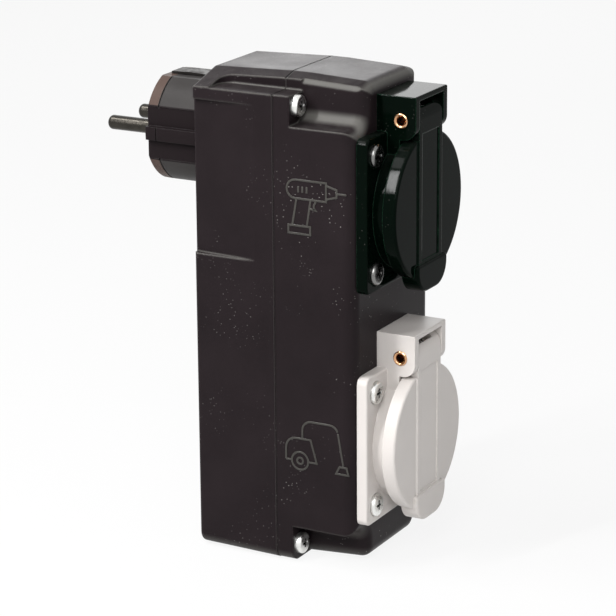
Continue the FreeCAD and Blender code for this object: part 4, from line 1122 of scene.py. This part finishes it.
class UNIT_OT_raised_signs(bpy.types.Operator):
    """Raise the plain signs of a drill and a vacuum cleaner on the housing's side"""
    bl_idname = "switch_unit.raised_signs"
    bl_label = "Raised signs"

    def execute(self, context):
        sizes = context.scene.unit_sizes
        low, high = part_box("front_shell")
        centre_y = (low[1] + high[1]) / 2 - 0.2 * MM
        for name, strokes, socket, lift in (("drill_sign", drill_strokes(), "tool", 2.3 * MM),
                                            ("cleaner_sign", cleaner_strokes(), "vacuum", 0.3 * MM)):
            seal_low, seal_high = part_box(socket + "_lid_seal")
            centre_z = (seal_low[2] + seal_high[2]) / 2 + lift
            sign = raised_sign(name, strokes, centre_y, centre_z, low[0], sizes)
            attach(sign, "housing")
            # The lines take the paler finish, a painted highlight
            sign.data.materials.append(finish_for("rubbed_lines"))
        return {"FINISHED"}


class UNIT_OT_finishes(bpy.types.Operator):
    """Give every carried-over piece the finish of its material slot"""
    bl_idname = "switch_unit.finishes"
    bl_label = "Finishes"

    def execute(self, context):
        for node, piece in frame["nodes"].items():
            piece.data.materials.clear()
            piece.data.materials.append(finish_for(slot_of(node)))
        return {"FINISHED"}


class UNIT_OT_studio(bpy.types.Operator):
    """Set up the floor, the soft lights, the even sky and the camera"""
    bl_idname = "switch_unit.studio"
    bl_label = "Studio"

    def execute(self, context):
        studio = context.scene.unit_studio
        lay_floor(studio)
        light_sky(context.scene, studio)
        middle = Vector((0, -0.04, -0.055))
        soft_light("strip_light", Vector((-0.68, 0.35, 0.62)), middle, 0.03, 0.6, studio.strip_light,
                   along=Vector((0.70, 0, 0.72)))
        soft_light("side_light", Vector((-0.75, -0.35, 0.60)), middle, 0.5, 0.5, studio.side_light)
        soft_light("top_light", Vector((-0.24, 0.40, 0.79)), middle, 0.3, 0.3, studio.top_light)
        soft_light("front_light", Vector((-0.25, -1.05, 0.35)), middle, 0.8, 0.8, studio.front_light)
        soft_light("back_light", Vector((0.96, 0.38, 0.27)), middle, 0.34, 0.34, studio.back_light)
        set_camera(context.scene, studio)
        context.scene.view_settings.view_transform = "Standard"
        return {"FINISHED"}


class UNIT_PT_panel(bpy.types.Panel):
    bl_label = "Automatic switch unit"
    bl_idname = "UNIT_PT_panel"
    bl_space_type = "VIEW_3D"
    bl_region_type = "UI"
    bl_category = "Switch unit"

    def draw(self, context):
        layout = self.layout
        for group in (context.scene.unit_sizes, context.scene.unit_colours, context.scene.unit_studio):
            box = layout.box()
            for name in group.__annotations__:
                box.prop(group, name)
        for operator in OPERATORS:
            layout.operator(operator.bl_idname)


OPERATORS = (UNIT_OT_finishes, UNIT_OT_cross_screws, UNIT_OT_tube_rivets, UNIT_OT_lid_springs,
             UNIT_OT_lid_seals, UNIT_OT_raised_signs, UNIT_OT_studio)
CLASSES = (UnitSizes, UnitColours, UnitStudio) + OPERATORS + (UNIT_PT_panel,)


def register():
    for item in CLASSES:
        bpy.utils.register_class(item)
    bpy.types.Scene.unit_sizes = PointerProperty(type=UnitSizes)
    bpy.types.Scene.unit_colours = PointerProperty(type=UnitColours)
    bpy.types.Scene.unit_studio = PointerProperty(type=UnitStudio)


def unregister():
    del bpy.types.Scene.unit_studio
    del bpy.types.Scene.unit_colours
    del bpy.types.Scene.unit_sizes
    for item in reversed(CLASSES):
        bpy.utils.unregister_class(item)


def main():
    register()
    bpy.ops.switch_unit.finishes()
    bpy.ops.switch_unit.cross_screws()
    bpy.ops.switch_unit.tube_rivets()
    bpy.ops.switch_unit.lid_springs()
    bpy.ops.switch_unit.lid_seals()
    bpy.ops.switch_unit.raised_signs()
    bpy.ops.switch_unit.studio()


if __name__ == "__main__":
    main()
